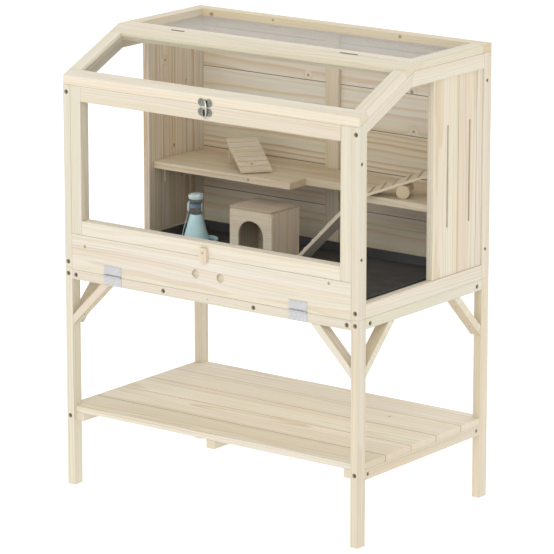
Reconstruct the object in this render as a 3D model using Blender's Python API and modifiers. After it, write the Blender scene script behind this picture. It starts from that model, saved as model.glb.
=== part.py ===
"""A pale wooden hamster cage on a four-legged stand with a storage shelf.

The front half of the roof is a sloped window door, hinged along the ridge to a flat wire-mesh lid.
Under it is a fixed front window, and under that a flap on two butt hinges, held by a turn button.
Metres, +Z up. X is the width, -Y is the front, and the origin is at the middle of the footprint.
"""
import math

import bmesh
import bpy
from mathutils import Matrix, Vector

# ---------------------------------------------------------------- driving dimensions
WIDTH = 1.000
DEPTH = 0.610
HEIGHT = 1.276
STAND_HEIGHT = 0.624
TRIM_REACH = 0.010        # how far the turn button and the clasp stand out of the front
STOCK_THIN = 0.024        # timber section of legs and posts, across the width
STOCK_DEEP = 0.034        # the same timber, front to back
GAP = 0.0003              # left between pieces that touch

# outer and inner faces of the timber frame
X_OUT = WIDTH / 2
X_IN = X_OUT - STOCK_THIN
Y_FRONT = TRIM_REACH - (DEPTH + TRIM_REACH) / 2
Y_REAR = Y_FRONT + DEPTH
Y_FRONT_IN = Y_FRONT + STOCK_DEEP
Y_REAR_IN = Y_REAR - STOCK_DEEP

# roof
ROOF_PITCH = math.radians(24.3)
RIDGE_Y = Y_FRONT + 0.243
BOARD_THICK = 0.024       # lid frame and roof door
LID_MEMBER = 0.040
DOOR_MEMBER = 0.038
LID_BOTTOM = HEIGHT - BOARD_THICK
MESH_DROP = 0.020         # wire mesh below the lid's top
PANE_THICK = 0.003

# stand and shelf
STAND_RAIL_BOTTOM = 0.595
FRONT_RAIL_TOP = 0.6215
BRACE_THICK = 0.020
BRACE_REACH = 0.131       # from the inner corner to the brace's outer edge
SHELF_TOP = 0.2295
SHELF_THICK = 0.018
SHELF_PLANKS = 5
SHELF_INSET = 0.008       # deck behind the legs' front faces
BATTEN_WIDTH = 0.028
BATTEN_TALL = 0.024
SHELF_RAIL_TALL = 0.029

# cage walls
SIDE_RAIL_TOP = 0.664
SIDE_TOP_RAIL_LOW = 1.210
SLOPE_RAIL_TALL = 0.034
PANEL_FRONT = 0.043       # front edge of the boarded half of each side
PANEL_THICK = 0.020
PANEL_RECESS = 0.004
SLOT_WIDTH = 0.008
SLOT_LOW = 0.798
SLOT_HIGH = 1.080
SLOT_PLACES = (0.112, 0.215)
BACK_THICK = 0.018
FLOOR_THICK = 0.012

# front window, flap, button and clasp
WINDOW_BOTTOM = 0.7235
WINDOW_STILE = 0.0365
WINDOW_OPEN_LOW = 0.763
WINDOW_OPEN_HIGH = 1.0975
FLAP_THICK = 0.012
FLAP_LOW = FRONT_RAIL_TOP + 0.0007
FLAP_HIGH = WINDOW_BOTTOM - 0.0006
FINGER_HOLE = 0.025       # diameter
FINGER_DEEP = 0.009
FINGER_HOLE_X = 0.042
HINGE_PLACES = (("left", -0.330), ("right", 0.303))     # middle of each flap hinge
HINGE_WIDE = 0.060
HINGE_LEAF = 0.0012
KNUCKLE_RADIUS = 0.0032
HINGE_AXIS_Y = Y_FRONT - GAP - KNUCKLE_RADIUS
HINGE_AXIS_Z = FRONT_RAIL_TOP + 0.0004
BUTTON_SCREW = (-0.010, 0.7365)
BUTTON_WIDE = 0.024
BUTTON_BELOW = 0.027
BUTTON_ABOVE = 0.014
CLASP_X = -0.006
CLASP_AXIS = (Y_FRONT - 0.0036, 1.152)
CLASP_PLATE = (0.048, 0.022)
KEEPER_Z = 1.121
HASP_WIDE = 0.012
HASP_LONG = 0.050
HASP_THICK = 0.002

# recesses for bolt and screw heads: radius and depth
BOLT_RECESS = (0.0055, 0.007)
SCREW_RECESS = (0.0040, 0.005)
BOLT_X = X_OUT - 0.011    # on legs and posts
RAIL_BOLTS = (0.462, 0.154)       # along the front and rear stand rails, each side of the middle
RAIL_BOLT_Z = 0.608
LEG_BOLTS = (0.609, 0.200)
POST_BOLTS = (0.6425, 1.120)
SIDE_RAIL_BOLTS = (Y_FRONT + 0.053, Y_REAR - 0.056)
SHELF_RAIL_SCREWS = (Y_FRONT + 0.046, Y_REAR - 0.051)
POST_SCREWS = {"front": (Y_FRONT + 0.0125, 0.786, 1.0415), "rear": (Y_REAR - 0.0194, 0.707, 1.175)}

# inside
TRAY_HALF = 0.462
TRAY_FRONT = Y_FRONT + 0.016
TRAY_REAR = 0.262
TRAY_WALL = 0.0025
PLATFORM_TOP = 0.866
PLATFORM_THICK = 0.020
PLATFORM_FRONT = 0.062
WELL = (0.004, 0.232, 0.138)     # ramp opening: left, right, rear
RAMP_WIDE = 0.068
RAMP_THICK = 0.010
LOG_RADIUS = 0.0188
LOG_LONG = 0.076
SEESAW_AT = (0.356, 0.113)       # middle of the log
SEESAW_TURN = math.radians(25.7)     # direction of the seesaw's length from +X
SEESAW_HALF = 0.106
SEESAW_WIDE = 0.078
SEESAW_THICK = 0.007
HUT_SIZE = (0.145, 0.128, 0.157)
HUT_CORNER = (-0.146, -0.014)
HUT_WALL = 0.008
HUT_DOOR = (0.086, 0.121)
DISPENSER_AT = (-0.329, 0.069)
DISH_AT = (-0.316, 0.079)
DISH_SIZE = (0.046, 0.022)       # radius and height
DISH_WALL = 0.003
CLIMB_FOOT = (-0.137, 0.100)     # middle of the small ramp's lower edge
CLIMB_WIDE = 0.090
CLIMB_RUN = 0.178
CLIMB_RISE = 0.069
CLIMB_TOE = 0.0095               # height of its lower edge
CLIMB_TURN = math.radians(52)    # direction of its lower edge from +X

TRAY_BASE = STAND_HEIGHT + 2 * GAP + FLOOR_THICK
TRAY_DECK = TRAY_BASE + TRAY_WALL
SEESAW_TILT = 2 * math.atan2(LOG_RADIUS, SEESAW_HALF)

# colour, roughness, metallic
FINISHES = {
    "wood": ((0.78, 0.66, 0.47, 1.0), 0.62, 0.0),
    "inner_wood": ((0.62, 0.50, 0.34, 1.0), 0.66, 0.0),
    "acrylic": ((0.93, 0.95, 0.95, 1.0), 0.06, 0.0),
    "steel": ((0.62, 0.63, 0.65, 1.0), 0.32, 1.0),
    "black_plastic": ((0.02, 0.02, 0.022, 1.0), 0.45, 0.0),
    "blue_plastic": ((0.22, 0.52, 0.60, 1.0), 0.35, 0.0),
}


# ---------------------------------------------------------------- helpers
def clear_scene():
    """Start from an empty scene with one collection for parts and one for cutters."""
    for old in list(bpy.data.objects):
        bpy.data.objects.remove(old, do_unlink=True)
    made = []
    for title in ("hamster_cage", "cutters"):
        group = bpy.data.collections.new(title)
        bpy.context.scene.collection.children.link(group)
        made.append(group)
    return made


PARTS, CUTTERS = clear_scene()


def paint(piece, kind):
    """Give a part its own material."""
    colour, rough, metal = FINISHES[kind]
    material = bpy.data.materials.new(piece.name + "_finish")
    material.use_nodes = True
    shader = material.node_tree.nodes["Principled BSDF"]
    shader.inputs["Base Color"].default_value = colour
    shader.inputs["Roughness"].default_value = rough
    shader.inputs["Metallic"].default_value = metal
    piece.data.materials.clear()
    piece.data.materials.append(material)
    return piece


def add(name, mesh, pivot, kind):
    """Link a mesh as a part, or as a cutter when it has no finish."""
    piece = bpy.data.objects.new(name, mesh)
    piece.location = pivot
    if kind is None:
        CUTTERS.objects.link(piece)
        piece.hide_render = True
        piece.display_type = "WIRE"
        return piece
    PARTS.objects.link(piece)
    return paint(piece, kind)


def box(name, low, high, kind=None, pivot=None):
    """A block between two corners, with its origin at its middle or at a pivot point."""
    low = Vector(low)
    high = Vector(high)
    middle = (low + high) / 2
    pivot = middle if pivot is None else Vector(pivot)
    shape = bmesh.new()
    bmesh.ops.create_cube(shape, size=1.0)
    bmesh.ops.scale(shape, vec=high - low, verts=shape.verts)
    bmesh.ops.translate(shape, vec=middle - pivot, verts=shape.verts)
    mesh = bpy.data.meshes.new(name)
    shape.to_mesh(mesh)
    shape.free()
    return add(name, mesh, pivot, kind)


def rod(name, start, end, radius, kind=None, sides=20):
    """A cylinder between two points."""
    start = Vector(start)
    end = Vector(end)
    along = end - start
    shape = bmesh.new()
    bmesh.ops.create_cone(shape, cap_ends=True, segments=sides, radius1=radius, radius2=radius,
                          depth=along.length)
    turn = Vector((0, 0, 1)).rotation_difference(along.normalized()).to_matrix()
    bmesh.ops.rotate(shape, cent=(0, 0, 0), matrix=turn, verts=shape.verts)
    mesh = bpy.data.meshes.new(name)
    shape.to_mesh(mesh)
    shape.free()
    mesh.shade_smooth()
    mesh.set_sharp_from_angle(angle=math.radians(40))
    return add(name, mesh, (start + end) / 2, kind)


# how a flat outline's own axes lie in the world, by the axis that it is thick along
TURNS = {"X": (math.pi / 2, 0, math.pi / 2), "Y": (math.pi / 2, 0, 0), "Z": (0, 0, 0)}


def slab(name, outlines, axis, start, end, kind=None):
    """A board cut to an outline, with holes: thick along one axis, from start to end."""
    curve = bpy.data.curves.new(name, "CURVE")
    curve.dimensions = "2D"
    curve.fill_mode = "BOTH"
    curve.extrude = (end - start) / 2
    for outline in outlines:
        spline = curve.splines.new("POLY")
        spline.points.add(len(outline) - 1)
        for point, (across, up) in zip(spline.points, outline):
            point.co = (across, up, 0, 1)
        spline.use_cyclic_u = True
    drawn = bpy.data.objects.new(name + "_outline", curve)
    PARTS.objects.link(drawn)
    drawn.rotation_euler = TURNS[axis]
    drawn.location["XYZ".index(axis)] = (start + end) / 2
    bpy.context.view_layer.update()
    seen = drawn.evaluated_get(bpy.context.evaluated_depsgraph_get())
    mesh = bpy.data.meshes.new_from_object(seen)
    mesh.name = name
    shape = bmesh.new()
    shape.from_mesh(mesh)
    bmesh.ops.remove_doubles(shape, verts=shape.verts, dist=0.00001)
    bmesh.ops.recalc_face_normals(shape, faces=shape.faces)
    shape.to_mesh(mesh)
    shape.free()
    piece = add(name, mesh, (0, 0, 0), kind)
    piece.matrix_world = drawn.matrix_world.copy()
    bpy.data.objects.remove(drawn, do_unlink=True)
    return piece


def rectangle(left, low, right, high):
    return [(left, low), (right, low), (right, high), (left, high)]


def circle(across, up, radius, sides=20):
    turns = [2 * math.pi * n / sides for n in range(sides)]
    return [(across + radius * math.cos(a), up + radius * math.sin(a)) for a in turns]


def carve(piece, cutter, operation="DIFFERENCE"):
    """Cut one piece by a cutter, or join a cutter to it."""
    step = piece.modifiers.new(cutter.name, "BOOLEAN")
    step.object = cutter
    step.operation = operation
    step.solver = "EXACT"


def recess(piece, place, inward, size):
    """Drill a blind round hole for a finger, or for a bolt or screw head, from a face inwards."""
    radius, depth = size
    place = Vector(place)
    inward = Vector(inward)
    number = len(piece.modifiers) + 1
    carve(piece, rod(f"drill_{piece.name}_{number}", place - inward * radius, place + inward * depth,
                     radius, sides=16 if radius < 0.01 else 24))


def pivot_at(name, place):
    """An empty on a joint's axis, which the moving pieces hang from."""
    empty = bpy.data.objects.new(name, None)
    empty.location = place
    PARTS.objects.link(empty)
    return empty


def hang(piece, empty):
    """Parent a piece to its pivot, leaving it where it is."""
    bpy.context.view_layer.update()
    piece.parent = empty
    piece.matrix_parent_inverse = empty.matrix_world.inverted()


def roof_top(y):
    """Height of the roof door's outer face."""
    return HEIGHT - (RIDGE_Y - y) * math.tan(ROOF_PITCH)


def roof_seam(y):
    """Height of the roof door's underside, where it rests on the posts and rails."""
    return roof_top(y) - BOARD_THICK / math.cos(ROOF_PITCH)


def sides():
    """The two ends of the cage, as a name and a sign along X."""
    return (("left", -1), ("right", 1))


def ends():
    """Front and rear, as a name, the outer and inner faces of the timber there, and the way in."""
    return (("front", Y_FRONT, Y_FRONT_IN, 1), ("rear", Y_REAR, Y_REAR_IN, -1))


def span_x(sign, inner, outer):
    """Low and high X of something between two distances from the middle, on one side."""
    return (inner, outer) if sign > 0 else (-outer, -inner)


# ---------------------------------------------------------------- stand
def build_stand():
    inside = X_IN - GAP
    for side, sign in sides():
        x0, x1 = span_x(sign, X_IN, X_OUT)
        for end, outer, inner, way in ends():
            y0, y1 = sorted((outer, inner))
            leg = box(f"leg_{end}_{side}", (x0, y0, 0), (x1, y1, STAND_HEIGHT), "wood")
            for z in LEG_BOLTS:
                recess(leg, (sign * BOLT_X, outer, z), (0, way, 0), BOLT_RECESS)
        x0, x1 = span_x(sign, X_OUT - STOCK_DEEP, X_OUT)
        rail = box(f"stand_rail_{side}", (x0, Y_FRONT_IN + GAP, STAND_RAIL_BOTTOM),
                   (x1, Y_REAR_IN - GAP, STAND_HEIGHT), "wood")
        for y in SIDE_RAIL_BOLTS:
            recess(rail, (sign * X_OUT, y, RAIL_BOLT_Z), (-sign, 0, 0), BOLT_RECESS)
    for end, outer, inner, way in ends():
        y0, y1 = sorted((outer, inner - way * GAP))
        top = FRONT_RAIL_TOP if end == "front" else STAND_HEIGHT
        rail = box(f"stand_rail_{end}", (-inside, y0, STAND_RAIL_BOTTOM), (inside, y1, top), "wood")
        for x in RAIL_BOLTS:
            for place in (-x, x):
                recess(rail, (place, outer, RAIL_BOLT_Z), (0, way, 0), BOLT_RECESS)


def brace_outline(corner, way):
    """A bar at 45 degrees under a rail, from an inner corner towards +1 or -1."""
    top = STAND_RAIL_BOTTOM - GAP
    near = BRACE_REACH - BRACE_THICK * math.sqrt(2)
    return [(corner + way * (near + GAP), top), (corner + way * BRACE_REACH, top),
            (corner + way * GAP, top - BRACE_REACH + GAP), (corner + way * GAP, top - near)]


def build_braces():
    for side, sign in sides():
        outline = brace_outline(sign * X_IN, -sign)
        slab(f"brace_front_{side}", [outline], "Y", Y_FRONT, Y_FRONT_IN - GAP, "wood")
        x0, x1 = span_x(sign, X_OUT - STOCK_DEEP, X_OUT)
        for end, corner, way in (("front", Y_FRONT_IN, 1), ("rear", Y_REAR_IN, -1)):
            slab(f"brace_{side}_{end}", [brace_outline(corner, way)], "X", x0, x1, "wood")


def plank_outline(y0, y1):
    """One deck plank, notched where it passes the legs."""
    inner = X_IN - GAP
    front_step = Y_FRONT_IN + GAP
    rear_step = Y_REAR_IN - GAP
    if y0 < front_step:
        return [(-inner, y0), (inner, y0), (inner, front_step), (X_OUT, front_step),
                (X_OUT, y1), (-X_OUT, y1), (-X_OUT, front_step), (-inner, front_step)]
    if y1 > rear_step:
        return [(-X_OUT, y0), (X_OUT, y0), (X_OUT, rear_step), (inner, rear_step),
                (inner, y1), (-inner, y1), (-inner, rear_step), (-X_OUT, rear_step)]
    return rectangle(-X_OUT, y0, X_OUT, y1)


def build_shelf():
    y_first = Y_FRONT + SHELF_INSET
    pitch = (DEPTH - 2 * SHELF_INSET) / SHELF_PLANKS
    low = SHELF_TOP - SHELF_THICK
    for n in range(SHELF_PLANKS):
        outline = plank_outline(y_first + n * pitch + GAP, y_first + (n + 1) * pitch - GAP)
        slab(f"shelf_plank_{n + 1}", [outline], "Z", low, SHELF_TOP, "wood")
    top = low - GAP
    y_last = Y_REAR - SHELF_INSET
    beside = X_IN - GAP - BATTEN_WIDTH / 2
    for title, x in (("left", -beside), ("middle", 0.0), ("right", beside)):
        box(f"shelf_batten_{title}", (x - BATTEN_WIDTH / 2, y_first, top - BATTEN_TALL),
            (x + BATTEN_WIDTH / 2, y_last, top), "wood")
    for side, sign in sides():
        x0, x1 = span_x(sign, X_IN, X_OUT)
        rail = box(f"shelf_rail_{side}", (x0, Y_FRONT_IN + GAP, top - SHELF_RAIL_TALL),
                   (x1, Y_REAR_IN - GAP, top), "wood")
        for y in SHELF_RAIL_SCREWS:
            recess(rail, (sign * X_OUT, y, top - SHELF_RAIL_TALL / 2), (-sign, 0, 0), SCREW_RECESS)


# ---------------------------------------------------------------- cage frame and walls
def slope_cutter():
    """Everything above the roof door's underside, in front of the ridge."""
    outline = [(Y_FRONT - 0.1, roof_seam(Y_FRONT - 0.1) - GAP), (RIDGE_Y, roof_seam(RIDGE_Y) - GAP),
               (RIDGE_Y, HEIGHT + 0.1), (Y_FRONT - 0.1, HEIGHT + 0.1)]
    return slab("cut_roof_slope", [outline], "X", -WIDTH, WIDTH)


def build_cage_frame(above_seam):
    base = STAND_HEIGHT + GAP
    lid = LID_BOTTOM - GAP
    y0 = Y_FRONT_IN + GAP
    y1 = Y_REAR_IN - GAP
    low_end = RIDGE_Y - (roof_seam(RIDGE_Y) - SLOPE_RAIL_TALL - SIDE_TOP_RAIL_LOW) / math.tan(ROOF_PITCH)
    for side, sign in sides():
        x0, x1 = span_x(sign, X_IN, X_OUT)
        for end, outer, inner, way in ends():
            top = HEIGHT if end == "front" else lid
            low_y, high_y = sorted((outer, inner))
            post = box(f"post_{end}_{side}", (x0, low_y, base), (x1, high_y, top), "wood")
            if end == "front":
                carve(post, above_seam)
            for z in POST_BOLTS:
                recess(post, (sign * BOLT_X, outer, z), (0, way, 0), BOLT_RECESS)
            screw_y, *screw_heights = POST_SCREWS[end]
            for z in screw_heights:
                recess(post, (sign * X_OUT, screw_y, z), (-sign, 0, 0), SCREW_RECESS)
        box(f"side_rail_low_{side}", (x0, y0, base), (x1, y1, SIDE_RAIL_TOP), "wood")
        ridge_join = roof_seam(RIDGE_Y) - GAP
        slope = [(y0, roof_seam(y0) - GAP), (y0, roof_seam(y0) - SLOPE_RAIL_TALL),
                 (low_end, SIDE_TOP_RAIL_LOW), (RIDGE_Y, ridge_join)]
        slab(f"side_rail_slope_{side}", [slope], "X", x0, x1, "wood")
        flat = [(low_end + 2 * GAP, SIDE_TOP_RAIL_LOW), (y1, SIDE_TOP_RAIL_LOW), (y1, lid),
                (RIDGE_Y + 2 * GAP, lid), (RIDGE_Y + 2 * GAP, ridge_join)]
        slab(f"side_rail_top_{side}", [flat], "X", x0, x1, "wood")


def build_side_walls():
    low = SIDE_RAIL_TOP + GAP
    high = SIDE_TOP_RAIL_LOW - GAP
    y0 = Y_FRONT_IN + GAP
    y1 = Y_REAR_IN - GAP
    half = SLOT_WIDTH / 2
    slope_low = roof_seam(y0) - SLOPE_RAIL_TALL - GAP
    y_flat = y0 + (high - slope_low) / math.tan(ROOF_PITCH)
    for side, sign in sides():
        outer = X_OUT - PANEL_RECESS
        x0, x1 = span_x(sign, outer - PANEL_THICK, outer)
        slots = [rectangle(y - half, SLOT_LOW, y + half, SLOT_HIGH) for y in SLOT_PLACES]
        slab(f"side_panel_{side}", [rectangle(PANEL_FRONT, low, y1, high)] + slots, "X", x0, x1, "wood")
        x0, x1 = span_x(sign, outer - PANEL_THICK / 2 - PANE_THICK, outer - PANEL_THICK / 2)
        pane = [(y0, low), (PANEL_FRONT - GAP, low), (PANEL_FRONT - GAP, high),
                (y_flat, high), (y0, slope_low)]
        slab(f"side_window_{side}", [pane], "X", x0, x1, "acrylic")


def build_back_and_floor():
    inside = X_IN - GAP
    base = STAND_HEIGHT + GAP
    y_wall = Y_REAR - BACK_THICK
    box("back_wall", (-inside, y_wall, base), (inside, Y_REAR, LID_BOTTOM - GAP), "inner_wood")
    box("floor_panel", (-inside, Y_FRONT + FLAP_THICK + GAP, base),
        (inside, y_wall - GAP, base + FLOOR_THICK), "inner_wood")


# ---------------------------------------------------------------- lid, roof door and front
def build_lid():
    y0 = RIDGE_Y + GAP
    open_half = X_OUT - LID_MEMBER
    hole = rectangle(-open_half, y0 + LID_MEMBER, open_half, Y_REAR - LID_MEMBER)
    slab("lid_frame", [rectangle(-X_OUT, y0, X_OUT, Y_REAR), hole], "Z", LID_BOTTOM, HEIGHT, "wood")
    wire_z = HEIGHT - MESH_DROP
    box("lid_mesh", (-open_half + GAP, y0 + LID_MEMBER + GAP, wire_z - 0.001),
        (open_half - GAP, Y_REAR - LID_MEMBER - GAP, wire_z + 0.001), "steel")


def build_roof_door():
    y1 = RIDGE_Y - GAP
    skin = [(Y_FRONT, roof_seam(Y_FRONT)), (y1, roof_seam(y1)), (y1, roof_top(y1)),
            (Y_FRONT, roof_top(Y_FRONT))]
    frame = slab("roof_door_frame", [skin], "X", -X_OUT, X_OUT, "wood")
    long = (RIDGE_Y - Y_FRONT) / math.cos(ROOF_PITCH)
    middle_y = (RIDGE_Y + Y_FRONT) / 2
    middle = (0, middle_y, (roof_top(middle_y) + roof_seam(middle_y)) / 2)
    half = (X_OUT - DOOR_MEMBER, long / 2 - DOOR_MEMBER)
    opening = box("cut_roof_opening", (-half[0], -half[1], -BOARD_THICK), (half[0], half[1], BOARD_THICK))
    opening.rotation_euler = (ROOF_PITCH, 0, 0)
    opening.location = middle
    carve(frame, opening)
    pane = box("roof_door_pane", (GAP - half[0], GAP - half[1], -PANE_THICK / 2),
               (half[0] - GAP, half[1] - GAP, PANE_THICK / 2), "acrylic")
    pane.rotation_euler = (ROOF_PITCH, 0, 0)
    pane.location = middle
    pivot = pivot_at("roof_door_pivot", (0, RIDGE_Y, HEIGHT))
    hang(frame, pivot)
    hang(pane, pivot)
    return pivot


def build_front_window(above_seam):
    inside = X_IN - GAP
    y1 = Y_FRONT_IN
    open_half = X_IN - WINDOW_STILE
    hole = rectangle(-open_half, WINDOW_OPEN_LOW, open_half, WINDOW_OPEN_HIGH)
    outer = rectangle(-inside, WINDOW_BOTTOM, inside, roof_seam(y1) + 0.01)
    frame = slab("window_frame", [outer, hole], "Y", Y_FRONT, y1, "wood")
    carve(frame, above_seam)
    middle = (Y_FRONT + y1) / 2
    box("window_pane", (GAP - open_half, middle - PANE_THICK / 2, WINDOW_OPEN_LOW + GAP),
        (open_half - GAP, middle + PANE_THICK / 2, WINDOW_OPEN_HIGH - GAP), "acrylic")


def build_flap():
    half = X_IN - 2 * GAP
    middle = (FLAP_LOW + FLAP_HIGH) / 2
    flap = slab("flap", [rectangle(-half, FLAP_LOW, half, FLAP_HIGH)], "Y",
                Y_FRONT, Y_FRONT + FLAP_THICK, "wood")
    for x in (-FINGER_HOLE_X, FINGER_HOLE_X):
        recess(flap, (x, Y_FRONT, middle), (0, 1, 0), (FINGER_HOLE / 2, FINGER_DEEP))
    hang(flap, pivot_at("flap_pivot", (0, HINGE_AXIS_Y, HINGE_AXIS_Z)))
    for side, middle in HINGE_PLACES:
        x0 = middle - HINGE_WIDE / 2
        x1 = middle + HINGE_WIDE / 2
        leaf = box(f"flap_hinge_{side}", (x0, Y_FRONT - GAP - HINGE_LEAF, STAND_RAIL_BOTTOM + 0.001),
                   (x1, Y_FRONT - GAP, HINGE_AXIS_Z), "steel")
        knuckle = rod(f"join_knuckle_{side}", (x0, HINGE_AXIS_Y, HINGE_AXIS_Z),
                      (x1, HINGE_AXIS_Y, HINGE_AXIS_Z), KNUCKLE_RADIUS, sides=12)
        carve(leaf, knuckle, "UNION")


def build_button_and_clasp(door_pivot):
    x, z = BUTTON_SCREW
    box("turn_button", (x - BUTTON_WIDE / 2, Y_FRONT - TRIM_REACH, z - BUTTON_BELOW),
        (x + BUTTON_WIDE / 2, Y_FRONT - GAP, z + BUTTON_ABOVE), "wood", pivot=(x, Y_FRONT, z))
    wide, tall = CLASP_PLATE
    box("clasp_keeper", (CLASP_X - wide / 2, Y_FRONT - GAP - HINGE_LEAF, KEEPER_Z - tall / 2),
        (CLASP_X + wide / 2, Y_FRONT - GAP, KEEPER_Z + tall / 2), "steel")
    y, top = CLASP_AXIS
    hasp = box("clasp_hasp", (CLASP_X - HASP_WIDE / 2, y - HASP_THICK / 2, top - HASP_LONG),
               (CLASP_X + HASP_WIDE / 2, y + HASP_THICK / 2, top), "steel", pivot=(CLASP_X, y, top))
    hang(hasp, door_pivot)


# ---------------------------------------------------------------- what is inside
def build_tray():
    rim = SIDE_RAIL_TOP
    tray = box("tray", (-TRAY_HALF, TRAY_FRONT, TRAY_BASE), (TRAY_HALF, TRAY_REAR, rim), "black_plastic")
    hollow = box("cut_tray", (TRAY_WALL - TRAY_HALF, TRAY_FRONT + TRAY_WALL, TRAY_DECK),
                 (TRAY_HALF - TRAY_WALL, TRAY_REAR - TRAY_WALL, rim + 0.05))
    carve(tray, hollow)


def build_platform():
    left, right, rear = WELL
    half = X_IN - 2 * GAP
    y_back = Y_REAR - BACK_THICK - GAP
    outline = [(-half, PLATFORM_FRONT), (left, PLATFORM_FRONT), (left, rear), (right, rear),
               (right, PLATFORM_FRONT), (half, PLATFORM_FRONT), (half, y_back), (-half, y_back)]
    slab("platform", [outline], "Z", PLATFORM_TOP - PLATFORM_THICK, PLATFORM_TOP, "inner_wood")
    # the ramp climbs towards +X, and its head rests against the right side of the opening
    low = TRAY_DECK + GAP
    high = PLATFORM_TOP - GAP
    head = right - 2 * GAP
    drop = (high - low) / math.tan(math.radians(45))
    thick = RAMP_THICK * math.sqrt(2)
    ramp = [(head - drop, low), (head - drop + thick, low), (head, high - thick), (head, high)]
    y0 = PLATFORM_FRONT + GAP
    slab("platform_ramp", [ramp], "Y", y0, y0 + RAMP_WIDE, "inner_wood")


def build_seesaw():
    """A board that rocks on a log. It is made along X, then turned about the middle of the log."""
    z = PLATFORM_TOP + GAP + LOG_RADIUS
    middle = Vector((*SEESAW_AT, z))
    turn = Matrix.Rotation(SEESAW_TURN, 4, "Z")
    reach = turn @ Vector((0, LOG_LONG / 2, 0))
    rod("seesaw_log", middle - reach, middle + reach, LOG_RADIUS, "inner_wood", sides=24)
    low = LOG_RADIUS + GAP
    half = Vector((SEESAW_HALF, SEESAW_WIDE / 2, 0))
    board = box("seesaw_board", middle - half + Vector((0, 0, low)),
                middle + half + Vector((0, 0, low + SEESAW_THICK)), "inner_wood", pivot=middle)
    tilt = Matrix.Rotation(GAP / SEESAW_HALF - SEESAW_TILT, 4, "Y")
    board.matrix_world = Matrix.Translation(middle) @ turn @ tilt


def build_hut():
    x, y = HUT_CORNER
    wide, deep, tall = HUT_SIZE
    base = TRAY_DECK + GAP
    hut = box("hut", (x, y, base), (x + wide, y + deep, base + tall), "inner_wood")
    room = box("cut_hut_room", (x + HUT_WALL, y + HUT_WALL, base - 0.05),
               (x + wide - HUT_WALL, y + deep - HUT_WALL, base + tall - HUT_WALL))
    carve(hut, room)
    door_wide, door_tall = HUT_DOOR
    radius = door_wide / 2
    spring = base + door_tall - radius
    middle = x + wide / 2
    arch = [(middle + radius * math.cos(a), spring + radius * math.sin(a))
            for a in (math.pi * n / 12 for n in range(13))]
    outline = arch + [(middle - radius, base - 0.02), (middle + radius, base - 0.02)]
    carve(hut, slab("cut_hut_door", [outline], "Y", y - 0.05, y + HUT_WALL + 0.02))


def build_dispenser():
    """A cone foot, a clear bottle and a cap, turned in one piece, that stand in a round drinking dish."""
    x, y = DISPENSER_AT
    base = TRAY_DECK + GAP
    profile = [(0.0, 0.151), (0.019, 0.151), (0.021, 0.148), (0.021, 0.138), (0.0175, 0.136),
               (0.0175, 0.094), (0.018, 0.090), (0.041, 0.006), (0.041, 0.0), (0.0, 0.0)]
    mesh = bpy.data.meshes.new("water_dispenser")
    points = [(radius, 0, height) for radius, height in profile]
    mesh.from_pydata(points, [(n, n + 1) for n in range(len(points) - 1)], [])
    turned = add("water_dispenser", mesh, (x, y, base), "blue_plastic")
    spin = turned.modifiers.new("turned", "SCREW")
    spin.steps = 24
    spin.render_steps = 24
    spin.use_merge_vertices = True
    spin.merge_threshold = 0.0001
    spin.use_smooth_shade = True
    radius, tall = DISH_SIZE
    dish = rod("join_dish", (*DISH_AT, base), (*DISH_AT, base + tall), radius, sides=32)
    carve(dish, rod("cut_dish", (*DISH_AT, base + 0.004), (*DISH_AT, base + 0.05), radius - DISH_WALL,
                    sides=32))
    carve(turned, dish, "UNION")


def build_climbing_ramp():
    """A small slatted ramp that stands free on the platform, with a prop under its high end."""
    base = PLATFORM_TOP + GAP
    thick = 0.008
    side_view = [(0, 0), (0.014, 0), (CLIMB_RUN - 0.010, CLIMB_RISE - thick - 0.004),
                 (CLIMB_RUN - 0.010, 0), (CLIMB_RUN, 0), (CLIMB_RUN, CLIMB_RISE), (0, CLIMB_TOE)]
    ramp = slab("climbing_ramp", [side_view], "Y", -CLIMB_WIDE / 2, CLIMB_WIDE / 2, "inner_wood")
    turn = Matrix.Rotation(CLIMB_TURN + math.pi / 2, 4, "Z")
    ramp.matrix_world = Matrix.Translation((*CLIMB_FOOT, base)) @ turn @ ramp.matrix_world


def build_cage():
    above_seam = slope_cutter()
    build_stand()
    build_braces()
    build_shelf()
    build_cage_frame(above_seam)
    build_side_walls()
    build_back_and_floor()
    build_lid()
    door_pivot = build_roof_door()
    build_front_window(above_seam)
    build_flap()
    build_button_and_clasp(door_pivot)
    build_tray()
    build_platform()
    build_seesaw()
    build_hut()
    build_dispenser()
    build_climbing_ramp()


build_cage()
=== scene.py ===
# %% [markdown]
# # A wooden hamster cage on its stand
# The cage is planed softwood: square battens, glued boards, clear plastic windows and a wire lid.
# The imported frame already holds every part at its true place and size, so this lesson only dresses it.
# Plain battens keep their frame shape and get eased edges and a pine finish. Anything built of several
# boards, wires or turned forms is made again here as surfaces worked out with numpy.

import math

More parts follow.
